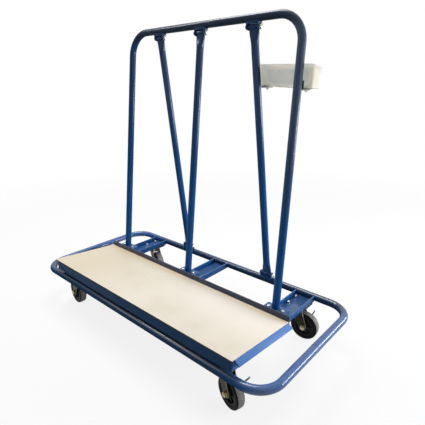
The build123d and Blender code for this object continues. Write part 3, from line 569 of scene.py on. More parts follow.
coreBlack = makePlain("coreEnamel", rgb(0.007, 0.007, 0.008), rgb(0.016, 0.016, 0.017), (0.38, 0.58),
                      220, 0.2, Specular_IOR_Level=0.15)
armBlack = makePlain("satinBlack", rgb(0.010, 0.010, 0.011), rgb(0.024, 0.024, 0.025), (0.32, 0.48), 380, 0.1)
bushSteel = makePlain("groundSteel", rgb(0.40, 0.40, 0.39), rgb(0.55, 0.54, 0.53), (0.25, 0.4), 500, 0.1,
                      Metallic=1.0)
slotFinish = {"frame_paint": paint, "deck_laminate": laminate, "bright_zinc": brightZinc,
              "dark_zinc": darkZinc, "caster_zinc": casterZinc, "bush_steel": bushSteel,
              "core_black": coreBlack, "tyre_rubber": rubber, "tub_plastic": tubPlastic,
              "black_paint": armBlack}
for name, slot in slotOf.items():  # every CAD node takes its slot's finish
    materials = frame["nodes"][name].data.materials
    materials.clear()
    materials.append(slotFinish[slot])
print("finishes made:", len(bpy.data.materials))

# pipes: 1 inch nominal bore
pipe = {"r": 16.85, "loopX": 741.5, "loopY": 329.5, "loopZ": 184.85, "loopBend": 100.0, "hoopX": 519.0,
        "hoopBend": 110.0, "hoopLeg": 1190.0, "sink": 3.0, "lean": 6.8, "footY": 65.0, "footTop": 232.0}
leanCos, leanSin = cosSin(pipe["lean"])
up = np.array([0, leanSin, leanCos])  # up the plane of the hoop
barY = pipe["footY"] + pipe["hoopLeg"] * leanSin
barZ = pipe["footTop"] + pipe["hoopLeg"] * leanCos


def flatPath(outline, origin, xDir, yDir):
    # a flat outline's two coordinates, each times its own direction
    return np.asarray(origin) + outline[:, :1] * np.asarray(xDir) + outline[:, 1:] * np.asarray(yDir)


def footWeld(x):
    # the bead where an upright stands on its foot plate
    return weldRing((x, pipe["footY"], pipe["footTop"] + 1.0), xAxis, yAxis, pipe["r"] + 1.2, 3.0)


loopLine = rectangle(2 * pipe["loopX"], 2 * pipe["loopY"], pipe["loopBend"], 18)
loopShape = tube(flatPath(loopLine, (0, 0, pipe["loopZ"]), xAxis, yAxis), zAxis, pipe["r"], 40, closed=True)
loopWelds = [weldRing((side * pipe["loopX"], 0, pipe["loopZ"]), xAxis, zAxis, pipe["r"] - 0.6, 1.5, 3.5)
             for side in (-1, 1)]
putPiece("baseLoop", [loopShape] + loopWelds, loopBlue, ("base_loop_front", "base_loop_rear"), sharp=60)

hoopX, hoopLeg, hoopBend, sink = pipe["hoopX"], pipe["hoopLeg"], pipe["hoopBend"], pipe["sink"]
hoopLine = roundedCorners([(-hoopX, -sink), (-hoopX, hoopLeg), (hoopX, hoopLeg), (hoopX, -sink)],
                          [0, hoopBend, hoopBend, 0], 18)
hoopFoot = np.array([0, pipe["footY"], pipe["footTop"]])
hoopShape = tube(flatPath(hoopLine, hoopFoot, xAxis, up), np.cross(xAxis, up), pipe["r"], 40)
putPiece("hoopPipe", [hoopShape, footWeld(-hoopX), footWeld(hoopX)], hoopBlue, ("hoop",), sharp=60)

# struts with flattened ends and a cross sleeve
strut = {"flatHalf": 25.0, "flatThick": 5.5, "flat": 14.0, "flare": 60.0, "squareness": 3.4, "drop": 33.0,
         "braceX": 290.0, "postX": -12.0, "shifts": {"left": (-14.0, 18.0), "right": (-6.0, 5.0)},
         "sleeve": 52.0, "sleeveR": 10.0, "hole": 6.5, "earIn": 26.5, "ear": 5.0, "earR": 14.0,
         "bridge": 11.0}


def strutSurface(length, flatAtFoot, steps=48):
    # a rounded box section whose half sizes and squareness ease from the pipe's circle to the flat end
    near = np.concatenate([np.linspace(0, strut["flat"], 3),
                           np.linspace(strut["flat"], strut["flat"] + strut["flare"], 16)[1:]])
    far = length - near[::-1] if flatAtFoot else np.array([length])
    along = np.concatenate([near, np.linspace(near[-1], far[0], 8)[1:], far[1:]])
    gap = np.minimum(along, length - along) if flatAtFoot else along
    ease = np.clip((gap - strut["flat"]) / strut["flare"], 0, 1)
    ease = (ease * ease * (3 - 2 * ease))[:, None]
    angle = circle(steps)
    power = 2 / (strut["squareness"] + (2 - strut["squareness"]) * ease)
    wide = strut["flatHalf"] + (pipe["r"] - strut["flatHalf"]) * ease
    thick = strut["flatThick"] + (pipe["r"] - strut["flatThick"]) * ease
    x = wide * np.sign(np.cos(angle)) * np.abs(np.cos(angle)) ** power
    y = thick * np.sign(np.sin(angle)) * np.abs(np.sin(angle)) ** power
    grid = np.stack([x, y, np.broadcast_to(along[:, None], x.shape)], -1)
    return skin(grid)


def sleeveShape(pivot):
    # a ring section turned about X through the pivot
    half, outer, hole = strut["sleeve"] / 2, strut["sleeveR"], strut["hole"]
    return placed(lathe(section(hole, outer, -half, half, 0.8, 3), 40), pivot, yAxis, zAxis, xAxis)


braces = {}
for name, side in (("left", -1), ("right", 1)):
    topShift, footShift = strut["shifts"][name]
    atBar = np.array([side * strut["braceX"] + topShift, barY, barZ])
    atLoop = np.array([side * strut["braceX"] + footShift, pipe["loopY"], pipe["loopZ"]])
    way = unit(atLoop - atBar)
    braces[name] = {"bar": atBar, "way": way, "top": atBar + way * strut["drop"],
                    "foot": atLoop - way * strut["drop"]}
postTop = np.array([strut["postX"], barY, barZ]) - up * strut["drop"]
joints = [(braces["left"]["top"], "top"), (postTop, "top"), (braces["right"]["top"], "top"),
          (braces["left"]["foot"], "rear"), (braces["right"]["foot"], "rear")]

for name, brace in braces.items():
    flatWay = unit(np.cross(np.cross(brace["way"], xAxis), brace["way"]))
    body = placed(strutSurface(np.linalg.norm(brace["foot"] - brace["top"]), True), brace["top"],
                  flatWay, np.cross(brace["way"], flatWay), brace["way"])
    putPiece(name + "BracePipe", [body, sleeveShape(brace["top"]), sleeveShape(brace["foot"])], paint,
             (name + "_brace",))
postLength = hoopLeg - strut["drop"] + sink
postBody = placed(strutSurface(postLength, False), postTop, xAxis, np.cross(-up, xAxis), -up)
putPiece("centrePostPipe", [postBody, sleeveShape(postTop), footWeld(strut["postX"])], paint,
         ("centre_post",))


def earOutlines(pivot, hub):
    # an ear is a half circle round the pivot and two straight sides that run into the pipe; the bridge is a
    # box above the sleeve
    way = unit(hub - pivot)
    across = np.array([-way[1], way[0]]) * strut["earR"]
    turn = np.linspace(math.pi / 2, 3 * math.pi / 2, 25)
    nose = pivot + strut["earR"] * np.cos(turn)[:, None] * way + np.sin(turn)[:, None] * across
    reach = (np.linalg.norm(hub - pivot) - math.sqrt(pipe["r"] ** 2 - strut["earR"] ** 2) + 2) * way
    low = strut["bridge"] * way
    sides = np.array([pivot - across + reach, pivot + across + reach])
    base = [pivot + across + low, pivot - across + low]
    return np.concatenate([nose, sides]), np.concatenate([base, sides])


def alongX(outline, low, high, bevel):
    # an outline of (y, z) carried along X
    return placed(prism(outline, low, high, bevel), (0, 0, 0), yAxis, zAxis, xAxis)


for kind, hub in (("top", (barY, barZ)), ("rear", (pipe["loopY"], pipe["loopZ"]))):
    shapes = []
    for pivot, place in joints:
        if place == kind:
            ear, bridge = earOutlines(pivot[1:], np.array(hub))
            for low in (pivot[0] - strut["earIn"] - strut["ear"], pivot[0] + strut["earIn"]):
                shapes.append(alongX(ear, low, low + strut["ear"], 0.9))
            span = strut["earIn"] + 1
            shapes.append(alongX(bridge, pivot[0] - span, pivot[0] + span, 0.5))
    putPiece(kind + "EarPlates", shapes, paint, (kind + "_ears",))

pivotBolt = {"flats": 19.0, "head": 8.0, "nut": 10.0, "tail": 4.0, "r": 6.0}
earOut = strut["earIn"] + strut["ear"]
boltShapes, nutShapes = [], []
for pivot, place in joints:
    head = pivot - earOut * xAxis
    boltShapes.append(placed(hexHead(pivotBolt["flats"], pivotBolt["head"]), head, zAxis, yAxis, -xAxis))
    boltShapes.append(placed(cylinder(pivotBolt["r"], 0, 2 * earOut), head, yAxis, zAxis, xAxis))
    nut = head + 2 * earOut * xAxis
    nutShapes.append(placed(hexHead(pivotBolt["flats"], pivotBolt["nut"]), nut, yAxis, zAxis, xAxis))
    tail = threadTail(pivotBolt["r"], pivotBolt["nut"], pivotBolt["nut"] + pivotBolt["tail"])
    nutShapes.append(placed(tail, nut, yAxis, zAxis, xAxis))
putPiece("jointBoltSet", boltShapes, darkZinc, ("joint_bolts",))
putPiece("jointNutSet", nutShapes, brightZinc, ("joint_nuts",))
print("pipes and joints done")

# cross channels and feet
channel = {"width": 100.0, "low": 168.0, "height": 30.0, "wall": 5.0, "bend": 5.0, "end": 316.0,
           "places": {"left": -519.0, "centre": -12.0, "right": 519.0}}
m8 = {"flats": 13.0, "head": 5.3, "nut": 6.5, "tail": 9.5, "r": 4.0, "hole": 4.3, "washerR": 8.4,
      "washer": 1.4, "headLow": 1.3}
m8Head, m8Nut = hexHead(m8["flats"], m8["head"]), hexHead(m8["flats"], m8["nut"])
flange, rise, channelWall = channel["width"] / 2, channel["height"], channel["wall"]
inner = flange - channelWall
channelOutline = roundedCorners(
    [(-flange, 0), (flange, 0), (flange, rise), (inner, rise), (inner, channelWall), (-inner, channelWall),
     (-inner, rise), (-flange, rise)],
    [channel["bend"], channel["bend"], 0.8, 0.8, 2.0, 2.0, 0.8, 0.8], 5)
channelBar = prism(channelOutline, -channel["end"], channel["end"], 0.5)
for name, x in channel["places"].items():
    shapes = [placed(channelBar, (x, 0, channel["low"]), xAxis, zAxis, -yAxis)]
    for end in (-1, 1):
        y, level = end * (pipe["loopY"] - pipe["r"] - 0.3), channel["low"] + channelWall + 1
        shapes.append(weldRun((x - flange + 6, y, level), (x + flange - 6, y, level), zAxis, 2.8))
        for side in (-1, 1):
            flank = (x + side * (flange + 0.3), y + end * 2)
            shapes.append(weldRun((*flank, channel["low"] + 8), (*flank, channel["low"] + 26), yAxis, 2.2))
    putPiece(name + "CrossChannel", shapes, paint, (name + "_channel",))


def nutBelow(spot, xDir, yDir, zDir):
    # a nut and the bolt's threaded end that shows past it
    return [placed(m8Nut, spot, xDir, yDir, zDir),
            placed(threadTail(m8["r"], m8["nut"], m8["tail"]), spot, xDir, yDir, zDir)]


foot = {"width": 112.0, "depth": 60.0, "corner": 8.0, "saddle": 26.0, "plate": 8.0, "wall": 5.0,
        "bolts": 35.0, "weldHalf": 26.0}
saddleLow = channel["low"] + channel["height"]
saddle, saddleRoof = foot["saddle"], foot["saddle"] - channelWall
saddleTop = saddleLow + saddle
saddleOutline = roundedCorners(
    [(-flange, 0), (-inner, 0), (-inner, saddleRoof), (inner, saddleRoof), (inner, 0), (flange, 0),
     (flange, saddle), (-flange, saddle)],
    [0.6, 0.6, 2.5, 2.5, 0.6, 0.6, 4.5, 4.5], 5)
saddleBar = prism(saddleOutline, -foot["depth"] / 2, foot["depth"] / 2, 0.7)
plateOutline = rectangle(foot["width"], foot["depth"], foot["corner"])
footPlate = prism(plateOutline, saddleTop, saddleTop + foot["plate"], 1.0)
saddles, plates, footBolts, footNuts = [], [], [], []
for x in channel["places"].values():
    saddles.append(placed(saddleBar, (x, pipe["footY"], saddleLow), xAxis, zAxis, -yAxis))
    plates.append(moved(footPlate, (x, pipe["footY"], 0)))
    for side in (-1, 1):
        ends = [(x + side * (flange + 0.2), pipe["footY"] + end * foot["weldHalf"], saddleLow)
                for end in (-1, 1)]
        saddles.append(weldRun(*ends, zAxis, 2.2))
        boltX = x + side * foot["bolts"]
        footBolts.append(moved(m8Head, (boltX, pipe["footY"], pipe["footTop"])))
        footNuts += nutBelow((boltX, pipe["footY"], saddleTop - foot["wall"]), yAxis, xAxis, -zAxis)
putPiece("footSaddleSet", saddles, paint, ("foot_saddles",))
putPiece("footPlateSet", plates, paint, ("foot_plates",))
putPiece("footBoltSet", footBolts, brightZinc, ("foot_bolts",))
putPiece("footNutSet", footNuts, brightZinc, ("foot_nuts",))
print("channels and feet done")

# deck: board, sloping angle frame and ribs
deck = {"length": 1220.0, "depth": 360.5, "slope": 5.6, "frontY": -335.0, "frontZ": 263.5, "board": 6.5,
        "wall": 5.0, "shelf": 35.0, "stop": 35.0, "setback": 1.0, "stopGap": 0.5, "leftInset": 24.0,
        "endDrop": 33.5, "arris": 1.5, "underArris": 0.6, "lip": 40.0, "wing": 27.5, "wingTop": 1.5,
        "wingFall": 33.7, "wingFront": 13.7, "wingRear": 3.1, "gap": 0.2}
slopeCos, slopeSin = cosSin(deck["slope"])
deckFoot = np.array([0, deck["frontY"], deck["frontZ"]])
back, above = np.array([0, slopeCos, -slopeSin]), np.array([0, slopeSin, slopeCos])
halfDeck = deck["length"] / 2
frameLeft = deck["leftInset"] - halfDeck


def onDeck(along, over):
    # a point so far back along the slope and so far above it
    return deckFoot + along * back + over * above


def boardShape():
    # a rectangle carried up through the board's thickness; the top rim turns in by a quarter circle
    outline = rectangle(deck["length"], deck["depth"], 3.0, 6, (0, deck["depth"] / 2))
    turn = quarter(6)
    under, board = deck["underArris"], deck["board"]
    inset = np.concatenate([[under, 0.0], deck["arris"] * (1 - np.cos(turn))])
    level = np.concatenate([[-board, -board + under], -deck["arris"] * (1 - np.sin(turn))])
    return skin(stacked(outline, inset, level))


board = placed(boardShape(), deckFoot, xAxis, back, above)
boardPiece = putPiece("deckPanel", [board], [laminate, boardEdge], ("deck_board",))
centres = np.zeros(len(boardPiece.data.polygons) * 3)
boardPiece.data.polygons.foreach_get("center", centres)
centres = centres.reshape(-1, 3) / millimetre - deckFoot
darkFace = centres @ above < -deck["arris"] * 0.8
boardPiece.data.polygons.foreach_set("material_index", darkFace.astype(np.int32))

shelfEnds = (frameLeft + deck["wall"] + deck["gap"], halfDeck - deck["wall"] - deck["gap"])


def deckBar(near, far, low, high, radii, start, end):
    # a box section drawn in the slope's own plane, carried along the cart from start to end
    return placed(prism(section(near, far, low, high, radii, 4), start, end), deckFoot, back, above, xAxis)


boardLow, lipFront, lipInner = -deck["board"], deck["setback"], deck["setback"] + deck["wall"]
shelfLow = boardLow - deck["wall"]
lipLow, lipBack = boardLow - deck["lip"], lipFront + deck["lip"]
lip = deckBar(lipFront, lipInner, lipLow, boardLow, [1.2, 1.2, 0.6, 1.6], frameLeft, halfDeck)
lipShelf = deckBar(lipInner - 1, lipBack, shelfLow, boardLow, 0.8, *shelfEnds)
putPiece("frontLipAngle", [lip, lipShelf], dullPaint, ("front_angle",))

stopFront = deck["depth"] + deck["stopGap"]
stopRear = stopFront + deck["wall"]
stopTop, shelfFront = deck["stop"] + shelfLow, stopRear - deck["shelf"]
stop = deckBar(stopFront, stopRear, shelfLow, stopTop, [0, 2.5, 1.2, 1.2], -halfDeck, halfDeck)
stopShelf = deckBar(shelfFront, stopFront + 1, shelfLow, boardLow, [0.8, 0, 0, 0.8], *shelfEnds)
putPiece("rearStopAngle", [stop, stopShelf], stopReflectionPaint, ("rear_angle",))

wall, gap = deck["wall"], deck["gap"]
fallCos, fallSin = cosSin(deck["wingFall"])
wingOut, wingFall = deck["wing"] * fallCos, deck["wing"] * fallSin
legOutline = section(-wall, 0, boardLow - deck["endDrop"], boardLow, [0.8, 0.8, 0, 0.8], 4)
for name, side, edge, start in (("left", -1, frameLeft, boardLow), ("right", 1, halfDeck, -deck["wingTop"])):
    bars = []
    wingTip = start - wingFall
    wingOutline = roundedCorners(
        [(-1, boardLow - wall / fallCos), (wingOut - wall * fallSin, wingTip - wall * fallCos),
         (wingOut, wingTip), (0.1, start), (0.1, boardLow), (-1, boardLow)], [0, 1.0, 1.4, 0, 0, 0], 4)
    for outline, near, far in ((legOutline, lipInner + gap, stopFront - gap),
                               (wingOutline, deck["wingFront"], deck["depth"] - deck["wingRear"])):
        outline = outline * (side, 1) + (edge, 0)
        bars.append(placed(prism(outline[::side], -far, -near, 0.8), deckFoot, xAxis, above, -back))
    putPiece(name + "EndAngle", bars, litWingPaint, (name + "_end_angle",))

ribFront = -pipe["loopY"] + pipe["r"] + gap
ribNear, ribFar = lipBack + gap, shelfFront - gap
ribTop = (ribFront - deck["frontY"] - shelfLow * slopeSin) / slopeCos
ribCorners = [(ribFront, saddleLow)] + [tuple(onDeck(*p)[1:]) for p in (
    (ribTop, shelfLow), (ribNear, shelfLow), (ribNear, boardLow), (ribFar, boardLow), (ribFar, shelfLow),
    (stopRear, shelfLow))]
ribCorners.append((ribCorners[-1][0], saddleLow))
ribOutline = np.array(ribCorners)[::-1]
ribs = []
for x in channel["places"].values():
    for side in (-1, 1):
        middle = x + side * (flange - channelWall / 2)
        ribs.append(alongX(ribOutline, middle - channelWall / 2, middle + channelWall / 2, 0.6))
putPiece("deckRibSet", ribs, paint, ("deck_ribs",))
print("deck done")

# parts tub in line with the right brace and the right leg
tub = {"z": 1133.0, "leftRise": 8.0, "length": 315.0, "depth": 50.0, "height": 93.0, "wall": 2.5,
       "taper": 2.5, "corner": 10.0, "rim": 3.5, "fall": 16.0, "pastLeg": 41.0, "setback": 34.5,
       "panelMid": 18.0, "panelHalf": 116.0, "panelLow": 11.5, "panelTop": 71.0, "panelBow": 9.0,
       "panelSunk": 1.8, "notch": -49.0, "notchDeep": 17.0, "notchSlope": 1.5, "stiles": (-143.0, -126.0),
       "beads": (16.0, 12.0)}
legY = pipe["footY"] + (tub["z"] - pipe["footTop"]) * leanSin / leanCos
tubFoot = np.array([pipe["hoopX"], legY, tub["z"]])
hookWay = braces["right"]["way"]
tubHook = braces["right"]["bar"] + hookWay * (tub["z"] + tub["leftRise"] - barZ) / hookWay[2]
tubSpan = np.linalg.norm(tubFoot - tubHook)
tubX = unit(tubFoot - tubHook)
tubY = unit(np.cross(zAxis, tubX))
tubZ = np.cross(tubX, tubY)
tubMiddle = (tub["pastLeg"] - tub["length"] / 2, tub["setback"] + tub["depth"] / 2)


def onTub(shape, origin):
    # the shape turned to the tub's own directions
    return placed(shape, origin, tubX, tubY, tubZ)


def tubShape():
    # rings of one rounded rectangle, set in or out by a profile that runs up the outside, over the rim and
    # down the inside; the front wall sinks by a smooth panel mask with a bowed lower edge and a notch on top
    front, side = np.linspace(-1, 1, 150), np.linspace(-1, 1, 16)
    bend = quarter(9)[1:-1]
    pieces = []
    for turn, run in ((-math.pi / 2, front), (0, side), (math.pi / 2, front), (math.pi, side)):
        n = np.array([math.cos(turn), math.sin(turn)])
        along = np.array([-n[1], n[0]])
        core = run[:, None] * along + n
        pieces.append(np.concatenate([core, np.broadcast_to(n, core.shape)], 1))
        corner = np.broadcast_to(along + n, (len(bend), 2))
        angle = turn + bend
        pieces.append(np.concatenate([corner, ways(angle)], 1))
    ring = np.concatenate(pieces)
    spread = tub["height"] * math.tan(math.radians(tub["taper"]))
    top, rim = tub["height"], -tub["rim"]
    wallZ = np.linspace(6, top - 9.5, 60)
    lean = spread * (1 - wallZ / tub["height"])
    profile = np.concatenate([
        [(spread + 7, 0), (spread + 3, 0.3), (spread + 1, 1.8), (spread + 0.2, 4)],
        np.stack([lean, wallZ], 1),
        [(rim + 0.6, top - 9), (rim, top - 8), (rim, top - 1.4), (rim + 1.4, top), (0.8, top),
         (2.2, top - 0.8)],
        np.stack([lean[::-6] + tub["wall"], wallZ[::-6] + 1], 1),
        [(spread + 4, 4), (spread + 6, 2.8), (spread + 9, 2.5)]])
    inset, level = profile[:, :1], np.broadcast_to(profile[:, 1:], (len(profile), len(ring)))
    core = np.array([tub["length"], tub["depth"]]) / 2 - tub["corner"]
    x = ring[:, 0] * core[0] + ring[:, 2] * (tub["corner"] - inset)
    y = ring[:, 1] * core[1] + ring[:, 3] * (tub["corner"] - inset)
    off = x - tub["panelMid"]
    lowEdge = tub["panelLow"] + tub["panelBow"] * (off / tub["panelHalf"]) ** 2
    topEdge = tub["panelTop"] - np.maximum(0, tub["notchDeep"] - tub["notchSlope"] * np.abs(x - tub["notch"]))
    inside = np.minimum.reduce([level - lowEdge, topEdge - level, tub["panelHalf"] - np.abs(off)])
    outerWall = np.arange(len(profile))[:, None] < 4 + len(wallZ)
    frontWall = (ring[:, 3] < -0.99) * outerWall
    mask = np.clip(inside / 1.6 + 0.5, 0, 1) * frontWall
    y = y + tub["panelSunk"] * mask
    # two shallow beads round the wall under the rim, two upright ones at the left of the panel
    bead = 0.7 * sum(np.exp(-((level - top + drop) / 1.3) ** 2) for drop in tub["beads"]) * outerWall
    for stile in tub["stiles"]:
        bead = bead + 0.9 * np.exp(-((x - stile) / 2.2) ** 2) * frontWall * (level > 6)
    x, y = x + bead * ring[:, 2], y + bead * ring[:, 3]
    # every level shrinks towards the rear in step with the rim, which falls from the front edge
    fall = math.tan(math.radians(tub["fall"]))
    level = level * (1 - fall * (y + tub["depth"] / 2) / tub["height"])
    # painted highlight: the right end wall, lit from the right, is paler and yellower in an upright band near
    # its front
    band = np.exp(-((ring[:, 1] + 0.35) / 0.35) ** 2) * (ring[:, 2] > 0.99)
    band = np.broadcast_to(band, level.shape)
    return skin(np.stack([x, y, level], -1)), mask.reshape(-1), band.reshape(-1)


tubBody, tubPanel, tubHighlightBand = tubShape()
tubOrigin = tubFoot + tubMiddle[0] * tubX + tubMiddle[1] * tubY
putPiece("partsTub", [onTub(tubBody, tubOrigin)], tubPlastic, ("parts_tub",), sharp=50,
         extra={"panel": tubPanel, "band": tubHighlightBand})

# left and right: reach behind the pipe, bolt behind the pipe
tubArm = {"thick": 5.0, "half": 13.0, "tab": 15.0, "tabHeight": 32.0, "tabBack": 22.0, "tabSink": 2.0,
          "fit": 0.3, "left": (80.0, 59.0), "right": (60.0, 50.0)}
tubBolts, tubNuts = [], []
for name, x in (("left", -tubSpan), ("right", 0.0)):
    armReach, boltBack = tubArm[name]
    bite, half, thick = pipe["r"] + tubArm["fit"], tubArm["half"], tubArm["thick"]
    turn = np.linspace(math.pi - math.acos(half / bite), math.acos(half / bite), 13)
    notch = np.stack([x + bite * np.cos(turn), bite * np.sin(turn)], 1)
    end = roundedCorners([(x + half, 0), (x + half, armReach), (x - half, armReach), (x - half, 0)],
                         [0, 4, 4, 0], 5)[1:-1]
    arm = [onTub(prism(np.concatenate([notch, end]), -thick, 0, 0.7), tubFoot)]
    if name == "right":
        tabSink, tabBack = tubArm["tabSink"], tubArm["tabBack"]
        tab = rectangle(tubArm["tab"], tubArm["tabHeight"] + tabSink, 1.0, 3,
                        (x, (tubArm["tabHeight"] - tabSink) / 2))
        arm.append(placed(prism(tab, -tabBack - thick, -tabBack, 0.8), tubFoot, tubX, tubZ, -tubY))
    putPiece(name + "TubArm", arm, armBlack, (name + "_tub_arm",))
    spot = tubFoot + x * tubX + boltBack * tubY
    inside = spot + tub["wall"] * tubZ
    tubBolts.append(onTub(washer(m8["hole"], m8["washerR"], 0, m8["washer"]), inside))
    tubBolts.append(onTub(hexHead(m8["flats"], m8["head"], m8["headLow"]), inside))
    tubNuts += nutBelow(spot - thick * tubZ, tubY, tubX, -tubZ)
putPiece("tubBoltPair", tubBolts, brightZinc, ("tub_bolts",))
putPiece("tubNutPair", tubNuts, brightZinc, ("tub_nuts",))
print("tub done")

# casters
caster = {"x": 519.0, "y": 262.0, "plateX": 100.0, "plateY": 85.0, "plateLow": 163.0, "plateTop": 168.0,
          "boltX": 36.0, "boltY": 33.0, "grip": 10.0, "boltEnd": 19.5, "boreR": 7.1, "skirtR": 30.8,
          "skirtOut": 33.8, "skirtLow": 152.8, "dishLow": 159.0, "raceIn": 16.0, "raceR": 30.0,
          "raceTop": 152.5, "cupTop": 148.0, "crownTop": 148.5, "crownLow": 137.5, "trail": 34.0,
          "wheelR": 65.0, "width": 36.0, "forkIn": 21.0, "forkOut": 25.0, "forkBend": 8.0, "forkWall": 4.0,
          "shoulder": 18.0, "boreFit": 0.2, "camR": 13.0, "camThick": 3.0,
          "leverLow": 28.3, "leverHigh": 33.3, "leverHub": 10.0, "leverTip": 3.0, "headFit": 0.3,
          "axleR": 6.0, "axleFlats": 19.0, "axleHead": 7.5, "axleWasherR": 11.5, "axleWasher": 1.8,
          "axleNut": (8.2, 1.7), "axleTail": (9.9, 13.0, 1.75),
          "corners": {"front_left": (-1, -1, 174.0), "front_right": (1, -1, -15.0),
                      "rear_left": (-1, 1, -17.0), "rear_right": (1, 1, 6.0)},
          "levers": {"front_right": (53.5, 116.0), "rear_right": (64.0, 76.0)}}  # angle above level, reach
plate = prism(rectangle(caster["plateX"], caster["plateY"], 6), caster["plateLow"], caster["plateTop"], 0.9)
boreR, skirtR, skirtOut = caster["boreR"], caster["skirtR"], caster["skirtOut"]
dishLow, skirtLow, skirtTop = caster["dishLow"], caster["skirtLow"], caster["plateLow"] + 0.5
skirt = lathe(roundedCorners([(boreR, dishLow), (skirtR, dishLow), (skirtR, skirtLow), (skirtOut, skirtLow),
                              (skirtOut, skirtTop), (boreR, skirtTop)], [0, 0.6, 0.5, 1.0, 0, 0], 3), 72)
pin = {"r": 7.0, "top": 166.0, "headR": 12.0, "flatR": 4.0, "dome": 4.0, "band": 3.0, "soft": 0.6, "fit": 0.3}
head, turn = caster["crownLow"] - pin["fit"], quarter(7)
dome = np.stack([pin["flatR"] + (pin["headR"] - pin["flatR"]) * np.sin(turn),
                 head - pin["band"] - pin["dome"] * np.cos(turn)], 1)
shank = [(pin["headR"], head - pin["soft"]), (pin["headR"] - pin["soft"], head), (pin["r"], head),
         (pin["r"], pin["top"])]
rivet = lathe(np.concatenate([dome, shank]), 40, closed=False)
casterPlates, kingpins, casterBolts, casterNuts = [], [], [], []
for sideX, sideY, turn in caster["corners"].values():
    spot = np.array([sideX * caster["x"], sideY * caster["y"], 0])
    casterPlates += [moved(plate, spot), moved(skirt, spot)]
    kingpins.append(moved(rivet, spot))
    for bx in (-caster["boltX"], caster["boltX"]):
        for by in (-caster["boltY"], caster["boltY"]):
            low = spot + (bx, by, caster["plateLow"])
            casterBolts.append(placed(m8Head, low, yAxis, xAxis, -zAxis))
            casterBolts.append(moved(threadTail(m8["r"], caster["grip"], caster["boltEnd"]), low))
            casterNuts.append(moved(m8Nut, low + caster["grip"] * zAxis))
putPiece("casterPlateSet", casterPlates, casterZinc, ("caster_plates",))
putPiece("kingpinSet", kingpins, brightZinc, ("kingpins",))
putPiece("casterBoltSet", casterBolts, brightZinc, ("caster_bolts",))
putPiece("casterNutSet", casterNuts, brightZinc, ("caster_nuts",))


def spanAt(outline, heights):
    # lowest and highest x of a closed outline at each height, nan where it has none
    start, end = outline, np.roll(outline, -1, 0)
    rise = end[:, 1] - start[:, 1]
    share = (heights[:, None] - start[:, 1]) / np.where(np.abs(rise) < 1e-9, 1e-9, rise)
    x = np.where((share >= 0) & (share <= 1), start[:, 0] + share * (end[:, 0] - start[:, 0]), np.nan)
    found = np.isfinite(x).any(1)
    low = np.where(found, np.nanmin(np.where(np.isfinite(x), x, 1e9), 1), np.nan)
    high = np.where(found, np.nanmax(np.where(np.isfinite(x), x, -1e9), 1), np.nan)
    return low, high


def forkShape():
    # one bent plate: a rounded U carried across the wheel, as wide at each height as the outline of the legs
    endR, shoulderR, tipArc = 17.0, 10.0, 5.0
    shoulder = caster["crownTop"] - shoulderR
    leg = hullOutline([(caster["trail"], caster["wheelR"], endR), (-caster["shoulder"], shoulder, shoulderR),
                       (caster["shoulder"], shoulder, shoulderR)], 240)
    mid, bend, thick = (caster["forkIn"] + caster["forkOut"]) / 2, caster["forkBend"], caster["forkWall"]
    top = caster["crownTop"] - thick / 2
    low = caster["wheelR"] - endR + 0.1
    dense = np.unique(np.concatenate([low + tipArc * (1 - np.cos(quarter(9))),
                                      np.linspace(low + tipArc, top - bend, 60)]))
    arc = quarter(7)[1:]
    right = np.concatenate([np.stack([np.full(len(dense), mid), dense], 1),
                            np.stack([mid - bend + bend * np.cos(arc), top - bend + bend * np.sin(arc)], 1)])
    normal = np.concatenate([np.tile([1.0, 0.0], (len(dense), 1)), ways(arc)])
    first, last = spanAt(leg, np.minimum(right[:, 1], shoulder))
    line = np.concatenate([right, (right * (-1, 1))[::-1]])
    normal = np.concatenate([normal, (normal * (-1, 1))[::-1]])
    first, last = np.concatenate([first, first[::-1]]), np.concatenate([last, last[::-1]])
    soft = np.minimum(0.7, (last - first) * 0.2)
    # round the strip: which edge, in by a rubbed margin, in by the soft arris, off the middle, arris, wear
    half = thick / 2
    ring = np.array([(0, 0, 1, -half, 0, 1), (0, 0, 0, -half, 1, 1), (0, 0, 0, half, -1, 1),
                     (0, 0, 1, half, 0, 1), (0, 1, 1, half, 0, 0), (1, -1, -1, half, 0, 0),
                     (1, 0, -1, half, 0, 1), (1, 0, 0, half, -1, 1), (1, 0, 0, -half, 1, 1),
                     (1, 0, -1, -half, 0, 1), (1, -1, -1, -half, 0, 0), (0, 1, 1, -half, 0, 0)])
    width = last - first
    margin = np.minimum(2.0, width * 0.25)
    u = (first[:, None] + width[:, None] * ring[:, 0] + margin[:, None] * ring[:, 1]
         + soft[:, None] * ring[:, 2])
    off = ring[:, 3] + soft[:, None] * ring[:, 4]
    grid = np.stack([u, line[:, :1] + normal[:, :1] * off, line[:, 1:] + normal[:, 1:] * off], -1)
    points, corners, sizes, wear = skin(grid[:, ::-1])
    return points, corners, sizes, np.tile(ring[::-1, 5], len(grid))


def wheelProfile():
    # tread with a slight crown, quarter-round shoulders, a proud band on each wall and a step down to the rim
    r, half, shoulder, crownDrop = caster["wheelR"], caster["width"] / 2, 7.0, 0.4
    tread = np.linspace(-half + shoulder, half - shoulder, 13)
    turn = quarter(7)
    lowArc = np.stack([r - shoulder + (shoulder - crownDrop) * np.sin(turn),
                       -half + shoulder - shoulder * np.cos(turn)], 1)
    wall = np.array([(46.05, -15.6), (47.2, -16.4), (48.6, -16.2), (50.2, -17.6), (53.6, -18.0),
                     (54.4, -17.3), (56.2, -17.3)])
    crown = np.stack([r - crownDrop * (tread / tread[-1]) ** 2, tread], 1)
    low = np.concatenate([wall, lowArc[:-1]])
    return np.concatenate([low, crown, (low * (1, -1))[::-1]])


